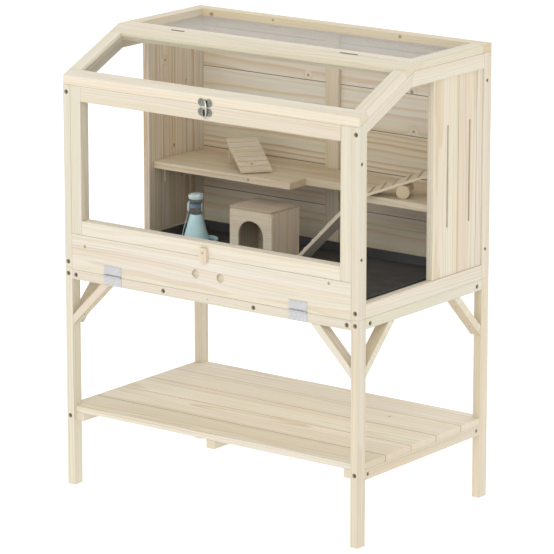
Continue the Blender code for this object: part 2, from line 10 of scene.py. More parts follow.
import bpy
import numpy as np
from mathutils import Euler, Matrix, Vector


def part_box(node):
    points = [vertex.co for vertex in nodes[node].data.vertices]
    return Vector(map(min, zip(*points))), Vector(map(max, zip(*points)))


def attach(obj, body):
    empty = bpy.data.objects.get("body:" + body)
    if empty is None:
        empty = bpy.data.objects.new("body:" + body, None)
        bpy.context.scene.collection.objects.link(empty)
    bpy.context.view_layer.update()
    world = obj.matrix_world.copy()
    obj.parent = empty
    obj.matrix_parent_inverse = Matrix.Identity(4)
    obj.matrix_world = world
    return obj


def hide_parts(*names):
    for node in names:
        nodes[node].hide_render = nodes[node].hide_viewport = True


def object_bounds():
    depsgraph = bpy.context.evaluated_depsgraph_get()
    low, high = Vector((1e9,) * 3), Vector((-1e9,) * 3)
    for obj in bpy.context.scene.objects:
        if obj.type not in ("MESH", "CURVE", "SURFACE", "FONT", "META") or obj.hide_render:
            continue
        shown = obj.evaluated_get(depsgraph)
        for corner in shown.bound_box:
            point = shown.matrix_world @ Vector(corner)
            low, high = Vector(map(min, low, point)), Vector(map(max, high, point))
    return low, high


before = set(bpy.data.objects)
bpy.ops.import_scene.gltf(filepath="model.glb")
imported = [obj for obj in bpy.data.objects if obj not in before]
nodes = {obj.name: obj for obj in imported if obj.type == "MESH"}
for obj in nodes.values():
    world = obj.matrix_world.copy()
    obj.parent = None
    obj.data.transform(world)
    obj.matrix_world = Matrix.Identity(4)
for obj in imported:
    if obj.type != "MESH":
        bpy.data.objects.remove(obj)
cad_low, cad_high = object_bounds()
print("frame:", len(nodes), "nodes, from", tuple(cad_low), "to", tuple(cad_high))

# %% [markdown]
# ## Camera
# A long lens from far away gives calm, nearly parallel lines. The camera is placed by the direction it
# looks from and a distance, so that both can be read at a glance, and it aims at a point a little below
# the middle of the object.

# %% Camera
AZIMUTH = math.radians(36.955)
ELEVATION = math.radians(13.795)
DISTANCE = 10.489
LENS, SENSOR = 247.5, 36.0
AIM_OFFSET = Vector((0.006, 0.002, -0.0265))

middle = (cad_low + cad_high) / 2
backwards = Vector((math.sin(AZIMUTH) * math.cos(ELEVATION), -math.cos(AZIMUTH) * math.cos(ELEVATION),
                    math.sin(ELEVATION)))
camera = bpy.data.objects.new("camera", bpy.data.cameras.new("camera"))
camera.data.sensor_width = SENSOR
camera.data.lens = LENS
camera.location = middle + AIM_OFFSET + backwards * DISTANCE
camera.rotation_euler = (math.pi / 2 - ELEVATION, 0.0, AZIMUTH)
camera.data.clip_end = 200.0
bpy.context.scene.collection.objects.link(camera)
bpy.context.scene.camera = camera
print("camera at", tuple(round(v, 3) for v in camera.location))

# %% [markdown]
# ## Light and floor
# Pale wood looks right under a bright sky that is strongest near the horizon, so that light also reaches
# the shelf under the cage and the room under the platform. Three suns with a very wide angle act like big
# studio panels: a key from the front, a weak one from the side, and a low one from behind that lights the
# back of the shelf. Unlike near panels they light the floor evenly, so it runs out to white.

# %% Light and floor
SKY_HORIZON, SKY_ZENITH = 0.92, 0.55
SUNS = {
    # name: (strength, colour, angular size in degrees, azimuth it shines from, elevation)
    "key_panel": (0.95, (1.0, 0.985, 0.955), 45, 12, 37),
    "side_panel": (0.28, (1.0, 0.99, 0.975), 60, 82, 34),
    "rear_panel": (1.25, (1.0, 0.99, 0.975), 50, 180, 23),
}

# the sky's strength follows the upward part of the direction, from the horizon to overhead
world = bpy.data.worlds.new("studio")
world.use_nodes = True
tree = world.node_tree
height = tree.nodes.new("ShaderNodeSeparateXYZ")
fade = tree.nodes.new("ShaderNodeMapRange")
tree.links.new(tree.nodes.new("ShaderNodeTexCoord").outputs["Generated"], height.inputs[0])
tree.links.new(height.outputs["Z"], fade.inputs["Value"])
fade.inputs["To Min"].default_value = SKY_HORIZON
fade.inputs["To Max"].default_value = SKY_ZENITH
tree.nodes["Background"].inputs["Color"].default_value = (1.0, 1.0, 1.0, 1.0)
tree.links.new(fade.outputs[0], tree.nodes["Background"].inputs["Strength"])
bpy.context.scene.world = world
bpy.context.scene.view_settings.view_transform = "Standard"


def sun(name, strength, colour, spread, azimuth, elevation):
    """A sun that shines from a direction given as azimuth and elevation, like the camera's."""
    lamp = bpy.data.lights.new(name, "SUN")
    lamp.energy = strength
    lamp.color = colour
    lamp.angle = math.radians(spread)
    made = bpy.data.objects.new(name, lamp)
    a = math.radians(azimuth)
    e = math.radians(elevation)
    source = Vector((math.sin(a) * math.cos(e), -math.cos(a) * math.cos(e), math.sin(e)))
    made.rotation_euler = source.to_track_quat("Z", "Y").to_euler()
    bpy.context.scene.collection.objects.link(made)
    return made


for title, values in SUNS.items():
    sun(title, *values)
print("lights:", list(SUNS), "and a sky from", SKY_HORIZON, "down to", SKY_ZENITH, "overhead")

# %% [markdown]
# ## Surfaces from arrays
# Every new piece starts as a grid of points. A row of the grid is one outline round the piece, and the
# rows follow each other along it, so the faces always join the same four neighbours. A helper makes those
# faces once for all, and another puts several such shells into one mesh.

# %% Grid helpers
def grid_faces(rows, columns, wrap_rows=False, wrap_columns=True):
    """Four-cornered faces of a grid: each joins a point, the next in its row, and the same two places in
    the next row. The last row or column meets the first where the grid is wrapped."""
    r = np.arange(rows if wrap_rows else rows - 1)[:, None]
    c = np.arange(columns if wrap_columns else columns - 1)[None, :]
    r_next = (r + 1) % rows
    c_next = (c + 1) % columns
    corners = (r * columns + c, r * columns + c_next, r_next * columns + c_next, r_next * columns + c)
    return np.stack(np.broadcast_arrays(*corners), -1).reshape(-1, 4)


def joined(shells):
    """Several shells as one: their points in a row, and each one's faces counted on from the last."""
    points = []
    faces = []
    start = 0
    for shell_points, shell_faces in shells:
        points.append(shell_points)
        faces += [group + start for group in shell_faces]
        start += len(shell_points)
    return np.concatenate(points), faces


def moved(shell, turn=(0.0, 0.0, 0.0), to=(0.0, 0.0, 0.0)):
    """A shell turned about the origin by X, Y and Z angles and then carried to a place."""
    matrix = np.array(Euler(turn).to_matrix())
    return shell[0] @ matrix.T + np.array(to), shell[1]


def make(name, shell, finish, body="root", stands_for=(), smooth=35, even=False):
    """One finished piece: a mesh from a shell's arrays, its finish, and the body that it moves with."""
    points, faces = shell
    mesh = bpy.data.meshes.new(name)
    mesh.from_pydata(points.tolist(), [], [face for group in faces for face in group.tolist()])
    mesh.materials.append(finish)
    mesh.shade_smooth()
    if smooth:
        mesh.set_sharp_from_angle(angle=math.radians(smooth))
    piece = bpy.data.objects.new(name, mesh)
    bpy.context.scene.collection.objects.link(piece)
    if even:
        piece.modifiers.new("even_shading", "WEIGHTED_NORMAL")
    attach(piece, body)
    if stands_for:
        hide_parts(*stands_for)
    return piece


print("a 3 by 4 grid has", len(grid_faces(3, 4)), "faces when its rows close on themselves")

# %% [markdown]
# ## Eased boards
# A planed board isn't a sharp block: every edge is sanded to a small round. Such a board is its outline
# carried along its length, where the first and last few outlines shrink along a quarter circle. The
# outline's own corners are arcs. Any convex outline works, so the same helper makes a plain batten and
# the slanted rails of the roof door.

# %% Board helper
FIRST_ANGLE = 12  # where the round at a board's end starts, in degrees


def sides_of(corners):
    """The inward normal of every side of an anticlockwise outline: its direction turned left."""
    along = np.roll(corners, -1, 0) - corners
    along = along / np.linalg.norm(along, axis=1, keepdims=True)
    return np.stack([-along[:, 1], along[:, 0]], 1)


def inset(corners, by):
    """The outline with every side moved in by a distance: a corner moves by that distance times the sum
    of its two inward normals, over one plus their dot product."""
    inward = sides_of(corners)
    before = np.roll(inward, 1, 0)
    return corners + by * (before + inward) / (1 + (before * inward).sum(1))[:, None]


def rounded(corners, radius, steps=4):
    """The outline with an arc at every corner: its centre is the corner moved in by the radius, and it
    turns from one side's outward normal to the next side's."""
    outward = -sides_of(corners)
    before = np.roll(outward, 1, 0)
    start = np.arctan2(before[:, 1], before[:, 0])
    cross = before[:, 0] * outward[:, 1] - before[:, 1] * outward[:, 0]
    turn = np.arctan2(cross, (before * outward).sum(1))
    angle = start[:, None] + turn[:, None] * np.linspace(0, 1, steps)
    arc = np.stack([np.cos(angle), np.sin(angle)], -1)
    return (inset(corners, radius)[:, None] + radius * arc).reshape(-1, 2)


def bar(outline, x0, x1, ease=0.0012, corner=None, steps=3):
    """A convex outline in Y and Z carried along X, eased all round: near an end, at an angle t up to 90
    degrees, the outline is shrunk by ease * (1 - sin t) and stands ease * (1 - cos t) in from the end."""
    corners = np.array(outline, float)
    after = np.roll(corners, -1, 0)
    if (corners[:, 0] * after[:, 1] - corners[:, 1] * after[:, 0]).sum() < 0:
        corners = corners[::-1]
    # a larger corner is drawn with more points
    corner_steps = 4 if corner in (None, ease) else 8
    corner = ease if corner is None else corner
    t = np.radians(np.linspace(FIRST_ANGLE, 90, steps))
    shrink = ease * (1 - np.sin(t))
    rings = [rounded(inset(corners, by), corner - by, corner_steps) for by in shrink]
    count = len(rings[0])
    depth = ease * (1 - np.cos(t))
    places = np.concatenate([x0 + depth, (x1 - depth)[::-1]])
    flat = np.array(rings + rings[::-1])
    across = np.broadcast_to(places[:, None, None], (len(places), count, 1))
    points = np.concatenate([across, flat], -1).reshape(-1, 3)
    last = (len(places) - 1) * count
    caps = np.stack([np.arange(count)[::-1], last + np.arange(count)])
    return points, [grid_faces(len(places), count), caps]


def block(low, high, ease=0.0012):
    """A square-cut board between two corners, eased all round."""
    (x0, y0, z0), (x1, y1, z1) = low, high
    return bar([(y0, z0), (y1, z0), (y1, z1), (y0, z1)], x0, x1, ease)


print("an eased block has", len(block((0, 0, 0), (1, 1, 1))[0]), "points")

# %% [markdown]
# ## Turned, bent and pierced forms
# Three more shapes cover the rest. A turned form is a profile spun round an axis, with one point at each
# pole so that it closes. A tube is a circle carried along a path. A pierced board is a closed section
# carried round its hole: the outer wall, the front, the wall of the hole, and the back.

# %% Turned, bent and pierced helpers
def turned(profile, steps=32, hexed=()):
    """A profile of radius and height, run upwards on its outer side, spun round Z: x is radius * cos and
    y is radius * sin of the angle. The rings named in hexed are six-sided: at an angle a from the middle
    of a flat, the radius is divided by cos a."""
    radius, height = np.array(profile, float).T
    angle = 2 * np.pi * np.arange(steps) / steps
    scale = np.ones((len(radius), steps))
    scale[list(hexed)] = np.cos(np.pi / 6) / np.cos(angle % (np.pi / 3) - np.pi / 6)
    rings = np.stack([radius[:, None] * scale * np.cos(angle), radius[:, None] * scale * np.sin(angle),
                      np.broadcast_to(height[:, None], (len(radius), steps))], -1)
    inner = rings[1:-1].reshape(-1, 3)
    poles = np.array([[0, 0, height[0]], [0, 0, height[-1]]])
    count = len(radius) - 2
    j = np.arange(steps)
    after = (j + 1) % steps
    bottom = np.stack([np.full(steps, count * steps), after, j], 1)
    top = np.stack([np.full(steps, count * steps + 1), (count - 1) * steps + j,
                    (count - 1) * steps + after], 1)
    return np.concatenate([inner, poles]), [grid_faces(count, steps), bottom, top]


def tube(path, radius, sides=10, side=(1.0, 0.0, 0.0)):
    """A circle carried along a path that stays square to one fixed direction: the circle's own axes are
    that direction crossed with the path's, and the path's crossed with the result."""
    path = np.array(path, float)
    along = np.gradient(path, axis=0)
    along /= np.linalg.norm(along, axis=1, keepdims=True)
    first = np.cross(np.array(side), along)
    first /= np.linalg.norm(first, axis=1, keepdims=True)
    second = np.cross(along, first)
    angle = 2 * np.pi * np.arange(sides) / sides
    reach = np.broadcast_to(np.asarray(radius, float), (len(path),))[:, None, None]
    rings = path[:, None] + reach * (np.cos(angle)[None, :, None] * first[:, None]
                                     + np.sin(angle)[None, :, None] * second[:, None])
    last = (len(path) - 1) * sides
    caps = np.stack([np.arange(sides)[::-1], last + np.arange(sides)])
    return rings.reshape(-1, 3), [grid_faces(len(path), sides), caps]


def pierced(outer, inner, low, high, eased, ease, closed=True):
    """A board between an outer and an inner outline with the same number of points: eight outlines in
    turn make its section, up the outer wall, in over the front, down the hole's wall and back under. The
    eased outlines are those of the flat faces, a little inside the walls."""
    outer_face, inner_face = eased
    section = [(outer, low + ease), (outer, high - ease), (outer_face, high), (inner_face, high),
               (inner, high - ease), (inner, low + ease), (inner_face, low), (outer_face, low)]
    count = len(outer)
    rows = [np.concatenate([flat, np.full((count, 1), height)], 1) for flat, height in section]
    faces = [grid_faces(len(rows), count, wrap_rows=True, wrap_columns=closed)]
    if not closed:
        starts = np.arange(len(rows)) * count
        faces.append(np.stack([starts, (starts + count - 1)[::-1]]))
    return np.concatenate(rows), faces


def slotted(rectangle, slot, low, high, ease):
    """A board with one slot through it, both given as corners, low and left first. The slot's corners are
    rounded by almost half its width, so its ends are round, and its edge is eased less than the board's."""
    (x0, y0, x1, y1), (a0, b0, a1, b1) = rectangle, slot
    outer = np.array([(x0, y0), (x1, y0), (x1, y1), (x0, y1)])
    hole = np.array([(a0, b0), (a1, b0), (a1, b1), (a0, b1)])
    hole_corner = 0.49 * min(a1 - a0, b1 - b0)
    hole_ease = ease * 0.6
    steps = 6
    walls = rounded(outer, ease, steps), rounded(hole, hole_corner, steps)
    flats = (rounded(inset(outer, ease), ease * 0.1, steps),
             rounded(inset(hole, -hole_ease), hole_corner + hole_ease, steps))
    return pierced(*walls, low, high, flats, ease * 0.7)


def stood(shell):
    """A shell with its axes carried round in order: its Z comes to lie along X, X along Y and Y along Z."""
    return shell[0][:, (2, 0, 1)], shell[1]


print("helpers ready: bar, block, turned, tube, pierced")

# %% [markdown]
# ## Pine, as a node group
# Softwood is a stack of growth rings round the tree's heart. A board cuts through them, so its long faces
# show streaks and its ends show arcs of the same rings. A node group will be that solid, and the helpers
# here keep it short to write: each adds one node and connects whatever it is given.

# %% Node helpers
def put(tree, kind, feeds=(), **settings):
    """One shader node: settings are its own options, and feeds its inputs, as values or other outputs."""
    made = tree.nodes.new("ShaderNode" + kind)
    for key, value in settings.items():
        setattr(made, key, value)
    for socket, value in dict(feeds).items():
        if isinstance(value, bpy.types.NodeSocket):
            tree.links.new(value, made.inputs[socket])
        else:
            made.inputs[socket].default_value = value
    return made


def maths(tree, operation, *values):
    """One step of arithmetic on numbers."""
    return put(tree, "Math", enumerate(values), operation=operation).outputs[0]


def arrows(tree, operation, *values):
    """One step of arithmetic on vectors, which gives a number for a length or a dot product."""
    made = put(tree, "VectorMath", enumerate(values), operation=operation)
    return made.outputs["Value" if operation in ("LENGTH", "DOT_PRODUCT") else "Vector"]


def blend(tree, share, first, second, kind="MIX"):
    """A colour between two others, or, where the kind is MULTIPLY, their product by that share."""
    made = put(tree, "Mix", data_type="RGBA", blend_type=kind)
    for socket, value in zip(("Factor_Float", "A_Color", "B_Color"), (share, first, second)):
        into = next(s for s in made.inputs if s.identifier == socket)
        if isinstance(value, bpy.types.NodeSocket):
            tree.links.new(value, into)
        else:
            into.default_value = value
    return next(s for s in made.outputs if s.identifier == "Result_Color")


def spread(tree, value, low, high, to_low=0.0, to_high=1.0, smooth=False):
    """A value stretched from one range to another and held inside it."""
    feeds = {"Value": value, "From Min": low, "From Max": high, "To Min": to_low, "To Max": to_high}
    kind = "SMOOTHSTEP" if smooth else "LINEAR"
    return put(tree, "MapRange", feeds, interpolation_type=kind).outputs[0]


def noise(tree, vector, stretch, detail=2.0, output="Fac"):
    """Smooth noise on a vector stretched by X, Y and Z, where larger numbers make finer grain."""
    where = arrows(tree, "MULTIPLY", vector, stretch)
    return put(tree, "TexNoise", {"Vector": where, "Scale": 1.0, "Detail": detail}).outputs[output]


def new_group(name, inputs, outputs):
    """An empty shader group with named sockets. Gives back the group, its inputs and its outputs."""
    tree = bpy.data.node_groups.new(name, "ShaderNodeTree")
    for title, kind, value in inputs:
        socket = tree.interface.new_socket(title, in_out="INPUT", socket_type="NodeSocket" + kind)
        socket.default_value = value
    for title, kind in outputs:
        tree.interface.new_socket(title, in_out="OUTPUT", socket_type="NodeSocket" + kind)
    return tree, tree.nodes.new("NodeGroupInput").outputs, tree.nodes.new("NodeGroupOutput").inputs


def place_group(tree, group, feeds=()):
    """A node that uses a group."""
    made = tree.nodes.new("ShaderNodeGroup")
    made.node_tree = group
    for socket, value in dict(feeds).items():
        if isinstance(value, bpy.types.NodeSocket):
            tree.links.new(value, made.inputs[socket])
        else:
            made.inputs[socket].default_value = value
    return made.outputs


print("node helpers ready")

# %% [markdown]
# ## The grain of pine
# A tree adds a ring of wood each year, pale early wood first and dark late wood at its end. A board shows
# the rings as curved lines where it was sawn along the tree. Here the distance from a tree's wavy axis is
# counted in rings, and the part of a ring that is left over says how dark the wood is. Finer noise,
# stretched along the grain, adds fibres and soft bands of colour.

# %% The pine grain group
PALE = (0.745, 0.700, 0.610, 1.0)
LATE = (0.600, 0.490, 0.345, 1.0)
BLUSH = (0.715, 0.645, 0.520, 1.0)


def build_pine_group():
    """Colour, roughness and height of planed pine at a point whose X runs along the grain."""
    tree, given, result = new_group("pine_grain", [
        ("Along Grain", "Vector", (0, 0, 0)), ("Heart", "Vector", (0, 0.03, 0.06)),
        ("Ring Width", "Float", 0.007), ("Swirl", "Float", 0.0), ("Streaks", "Float", 0.6),
        ("Pale", "Color", PALE), ("Late", "Color", LATE), ("Blush", "Color", BLUSH),
    ], [("Color", "Color"), ("Roughness", "Float"), ("Height", "Float")])
    at = given["Along Grain"]
    # the rings wander slowly along the board and a little from fibre to fibre
    wander = arrows(tree, "SUBTRACT", noise(tree, at, (1.5, 13, 13), output="Color"), (0.5, 0.5, 0.5))
    slow = arrows(tree, "SCALE", wander)
    slow.node.inputs["Scale"].default_value = 0.030
    q = arrows(tree, "ADD", at, slow)
    radial = arrows(tree, "MULTIPLY", arrows(tree, "ADD", q, given["Heart"]), (0, 1, 1))
    rings = maths(tree, "DIVIDE", arrows(tree, "LENGTH", radial), given["Ring Width"])
    rings = maths(tree, "ADD", rings, given["Swirl"])
    # late wood darkens slowly through each year and ends at once, and some years are darker than others
    part = maths(tree, "FRACT", rings)
    rise = spread(tree, part, 0.35, 0.88, smooth=True)
    fall = spread(tree, part, 0.92, 1.0, 1.0, 0.0)
    band = maths(tree, "MULTIPLY", rise, fall)
    year = maths(tree, "FLOOR", rings)
    fickle = put(tree, "TexWhiteNoise", {"W": year}, noise_dimensions="1D").outputs[0]
    late = maths(tree, "MULTIPLY", band, spread(tree, fickle, 0.0, 1.0, 0.15, 1.0))
    # streaks a few millimetres wide that come and go along the grain
    streak = spread(tree, noise(tree, at, (1.1, 95, 95), 3.0), 0.50, 0.74)
    patch = spread(tree, noise(tree, at, (0.8, 9, 9), 1.0), 0.38, 0.62)
    late = maths(tree, "ADD", late, maths(tree, "MULTIPLY", streak, patch))
    late = put(tree, "Math", {0: maths(tree, "MULTIPLY", late, given["Streaks"]), 1: 1.0},
               operation="MULTIPLY", use_clamp=True).outputs[0]
    # broad bands that lean to another colour, then a slight change of hue from strip to strip
    bands = spread(tree, noise(tree, at, (0.45, 24, 24), 2.0), 0.36, 0.66, smooth=True)
    colour = blend(tree, bands, given["Pale"], given["Blush"])
    colour = blend(tree, late, colour, given["Late"])
    hues = arrows(tree, "SUBTRACT", noise(tree, at, (0.7, 42, 42), 1.5, "Color"), (0.5, 0.5, 0.5))
    hues = arrows(tree, "MULTIPLY_ADD", hues, (0.11, 0.10, 0.17), (1, 1, 1))
    colour = blend(tree, 1.0, colour, hues, "MULTIPLY")
    # fibres finer than a millimetre, and the short dark dashes of open pores
    fibre = noise(tree, at, (9, 640, 640), 3.0)
    shade = spread(tree, fibre, 0.3, 0.7, 0.955, 1.035)
    tint = put(tree, "CombineXYZ", {0: shade, 1: shade, 2: shade}).outputs[0]
    colour = blend(tree, 1.0, colour, tint, "MULTIPLY")
    pores = spread(tree, noise(tree, at, (26, 900, 900), 1.0), 0.70, 0.80)
    colour = blend(tree, maths(tree, "MULTIPLY", pores, 0.30), colour, given["Late"])
    tree.links.new(colour, result["Color"])
    tree.links.new(spread(tree, late, 0.0, 1.0, 0.62, 0.48), result["Roughness"])
    height = maths(tree, "ADD", maths(tree, "MULTIPLY", fibre, 0.6), maths(tree, "MULTIPLY", late, 0.5))
    tree.links.new(maths(tree, "SUBTRACT", height, pores), result["Height"])
    return tree


PINE = build_pine_group()
print("pine group with", len(PINE.nodes), "nodes")

# %% [markdown]
# ## Knots, as a node group
# A knot is the foot of a branch: a dark round plug with its own rings, and the board's rings flow round
# it. The group measures the distance from a line through the board, so the knot shows on both faces. It
# gives a mask for the plug, a darker rim, and a swirl that pushes the rings of the pine group aside.

# %% The knot group
def build_knot_group():
    """Masks for a knot: its distance from the line through it is measured in units of its size, d. The
    swirl fades as e to the power -0.12 * d * d."""
    tree, given, result = new_group("knot", [
        ("Place", "Vector", (0, 0, 0)), ("Centre", "Vector", (0, 0, 0)), ("Through", "Vector", (0, 1, 0)),
        ("Size", "Float", 0.006),
    ], [("Plug", "Float"), ("Rim", "Float"), ("Swirl", "Float")])
    away = arrows(tree, "SUBTRACT", given["Place"], given["Centre"])
    deep = put(tree, "VectorMath", {0: away, 1: given["Through"]}, operation="PROJECT").outputs["Vector"]
    reach = arrows(tree, "LENGTH", arrows(tree, "SUBTRACT", away, deep))
    wobble = spread(tree, noise(tree, given["Place"], (240, 240, 240), 2.0), 0.3, 0.7, 0.75, 1.25)
    d = maths(tree, "MULTIPLY", maths(tree, "DIVIDE", reach, given["Size"]), wobble)
    plug = spread(tree, d, 0.65, 1.15, 1.0, 0.0, smooth=True)
    rim = maths(tree, "MULTIPLY", spread(tree, d, 0.55, 0.95, smooth=True),
                spread(tree, d, 0.95, 1.5, 1.0, 0.0, smooth=True))
    fade = maths(tree, "POWER", 2.718, maths(tree, "MULTIPLY", maths(tree, "MULTIPLY", d, d), -0.12))
    tree.links.new(plug, result["Plug"])
    tree.links.new(rim, result["Rim"])
    rings_aside = 2.6
    tree.links.new(maths(tree, "MULTIPLY", fade, rings_aside), result["Swirl"])
    return tree


KNOT = build_knot_group()
print("knot group with", len(KNOT.nodes), "nodes")

# %% [markdown]
# ## Pine finishes
# Every board gets its own finish, because no two boards are alike. Its grain is turned to run along the
# board, its pattern is shifted to a part of the wood that no other board uses, and its colours lean a
# little to yellow, pink or grey. The cut ends are browner, since they drink in light and dust.

# %% Pine finish
GRAIN = {
    # which way the fibres run, as the turn that lays them along X
    "X": (0.0, 0.0, 0.0),
    "Y": (0.0, 0.0, -math.pi / 2),
    "Z": (0.0, math.pi / 2, 0.0),
}
KNOT_WOOD = (0.42, 0.215, 0.085, 1.0)
KNOT_RIM = (0.20, 0.095, 0.040, 1.0)
# the dark line where boards meet is painted shade of the joint, with a little dirt
JOINT_SHADE_AND_DIRT = (0.066, 0.040, 0.018, 1.0)
GLUE_LINE = (0.40, 0.27, 0.14, 1.0)
boards_made = []


def lean(colour, by):
    """A colour multiplied by another, channel by channel."""
    return tuple(c * b for c, b in zip(colour, by)) + (1.0,)


def pine(name, middle, grain="X", tone=(1.0, 1.0, 1.0), streaks=0.5, rings=0.007, knots=(), joints=None,
         glue=None, figure=(1.0, 1.0, 1.0)):
    """A pine finish for one board round its middle. Tone leans all its colours, and figure the late wood
    alone. Each knot is a centre, the axis it runs through, and a radius. Joints are an axis, the board's
    two edges along it, and the width of the dark line there, which is painted shade of the joint with a
    little dirt. A glue line is an axis and a place on it."""
    boards_made.append(name)
    dice = np.random.default_rng(7919 * len(boards_made))
    turn = GRAIN[grain] if isinstance(grain, str) else grain
    shift = dice.uniform(-40, 40, 3)
    drift = dice.normal(0, 0.006, 3) + dice.normal(0, 0.012)
    tone = np.clip(np.array(tone) * (1 + drift), 0, 1.12)
    heart = (0.0, dice.uniform(0.012, 0.05) * dice.choice([-1, 1]), dice.uniform(0.03, 0.09))
    material = bpy.data.materials.new(name)
    material.use_nodes = True
    tree = material.node_tree
    shader = tree.nodes["Principled BSDF"]
    place = put(tree, "TexCoord").outputs
    turned_and_shifted = {"Vector": place["Object"], "Rotation": turn, "Location": shift}
    along = put(tree, "Mapping", turned_and_shifted).outputs[0]
    swirl = 0.0
    plugs = []
    for centre, through, size in knots:
        seen = place_group(tree, KNOT, {"Place": place["Object"], "Centre": centre, "Through": through,
                                        "Size": size})
        swirl = maths(tree, "ADD", swirl, seen["Swirl"])
        plugs.append(seen)
    # the heart is measured from the board's own middle, so it moves with the shift
    home = np.array(shift) + np.array(Euler(turn).to_matrix()) @ np.array(middle)
    wood = place_group(tree, PINE, {
        "Along Grain": along, "Heart": tuple(np.array(heart) - home * (0, 1, 1)), "Ring Width": rings,
        "Swirl": swirl, "Streaks": streaks, "Pale": lean(PALE, tone), "Late": lean(LATE, tone * figure),
        "Blush": lean(BLUSH, tone)})
    colour = wood["Color"]
    for seen in plugs:
        colour = blend(tree, maths(tree, "MULTIPLY", seen["Plug"], 0.85), colour, KNOT_WOOD)
        colour = blend(tree, maths(tree, "MULTIPLY", seen["Rim"], 0.55), colour, KNOT_RIM)
    axis = np.array(Euler(turn).to_matrix()).T @ np.array((1.0, 0.0, 0.0))
    facing = maths(tree, "ABSOLUTE", arrows(tree, "DOT_PRODUCT", place["Normal"], tuple(axis)))
    cut_end = spread(tree, facing, 0.80, 0.97, smooth=True)
    end_wood = lean(BLUSH, tone * (0.86, 0.80, 0.72))
    colour = blend(tree, maths(tree, "MULTIPLY", cut_end, 0.55), colour, end_wood)
    if glue:
        axis_at, where = glue
        across = put(tree, "SeparateXYZ", {0: place["Object"]}).outputs[axis_at]
        off = maths(tree, "ABSOLUTE", maths(tree, "SUBTRACT", across, where))
        thin = spread(tree, off, 0.0002, 0.0011, 1.0, 0.0, smooth=True)
        faint = spread(tree, noise(tree, along, (3, 3, 3), 1.0), 0.35, 0.65, 0.15, 0.75)
        colour = blend(tree, maths(tree, "MULTIPLY", thin, faint), colour, GLUE_LINE)
    # painted shade: the wood is darkened near the edges where boards meet, as the shade in the joint, with
    # a little dirt
    if joints:
        axis_at, low, high, width = joints
        across = put(tree, "SeparateXYZ", {0: place["Object"]}).outputs[axis_at]
        near_low, near_high = maths(tree, "SUBTRACT", across, low), maths(tree, "SUBTRACT", high, across)
        near = maths(tree, "MINIMUM", near_low, near_high)
        joint_shade_and_dirt = spread(tree, near, width * 0.5, width * 1.3, 0.85, 0.0, smooth=True)
        colour = blend(tree, joint_shade_and_dirt, colour, JOINT_SHADE_AND_DIRT)
    tree.links.new(colour, shader.inputs["Base Color"])
    tree.links.new(wood["Roughness"], shader.inputs["Roughness"])
    bump = put(tree, "Bump", {"Strength": 0.35, "Distance": 0.0004, "Height": wood["Height"]})
    tree.links.new(bump.outputs[0], shader.inputs["Normal"])
    shader.inputs["Specular IOR Level"].default_value = 0.35
    return material


def middle_of(node):
    """The middle of a node's box."""
    low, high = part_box(node)
    return tuple((low + high) / 2)


def joint_edges(number, count, low, high):
    """The edges of one board in a row at which it meets another. An outer edge, which meets none, is
    moved a metre away, so that no painted shade or dirt is laid at it."""
    away = 1.0
    return low - away * (number == 0), high + away * (number == count - 1)


print("grain directions:", list(GRAIN))

# %% [markdown]
# ## Dressing the frame's own battens
# Most of the stand and the cage frame are plain battens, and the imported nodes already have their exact
# shape, bolt holes included. They only need the sanded edge of real timber, so a small bevel goes on as
# a modifier, and weighted normals keep the flat faces flat.

# %% Dress helper
def dress(node, finish, ease=0.0012):
    """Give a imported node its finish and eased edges. Its mesh stays as it is: the weld joins the corners
    that its faces share, so that the bevel has edges to work on."""
    piece = nodes[node]
    for material_slot in piece.material_slots:
        material_slot.material = finish
    weld = piece.modifiers.new("weld", "WELD")
    weld.merge_threshold = 0.00005
    if ease:
        bevel = piece.modifiers.new("eased_edges", "BEVEL")
        bevel.width = ease
        bevel.segments = 2
        bevel.limit_method = "ANGLE"
        bevel.angle_limit = math.radians(40)
        bevel.use_clamp_overlap = True
        even = piece.modifiers.new("even_shading", "WEIGHTED_NORMAL")
        even.keep_sharp = False
    return piece


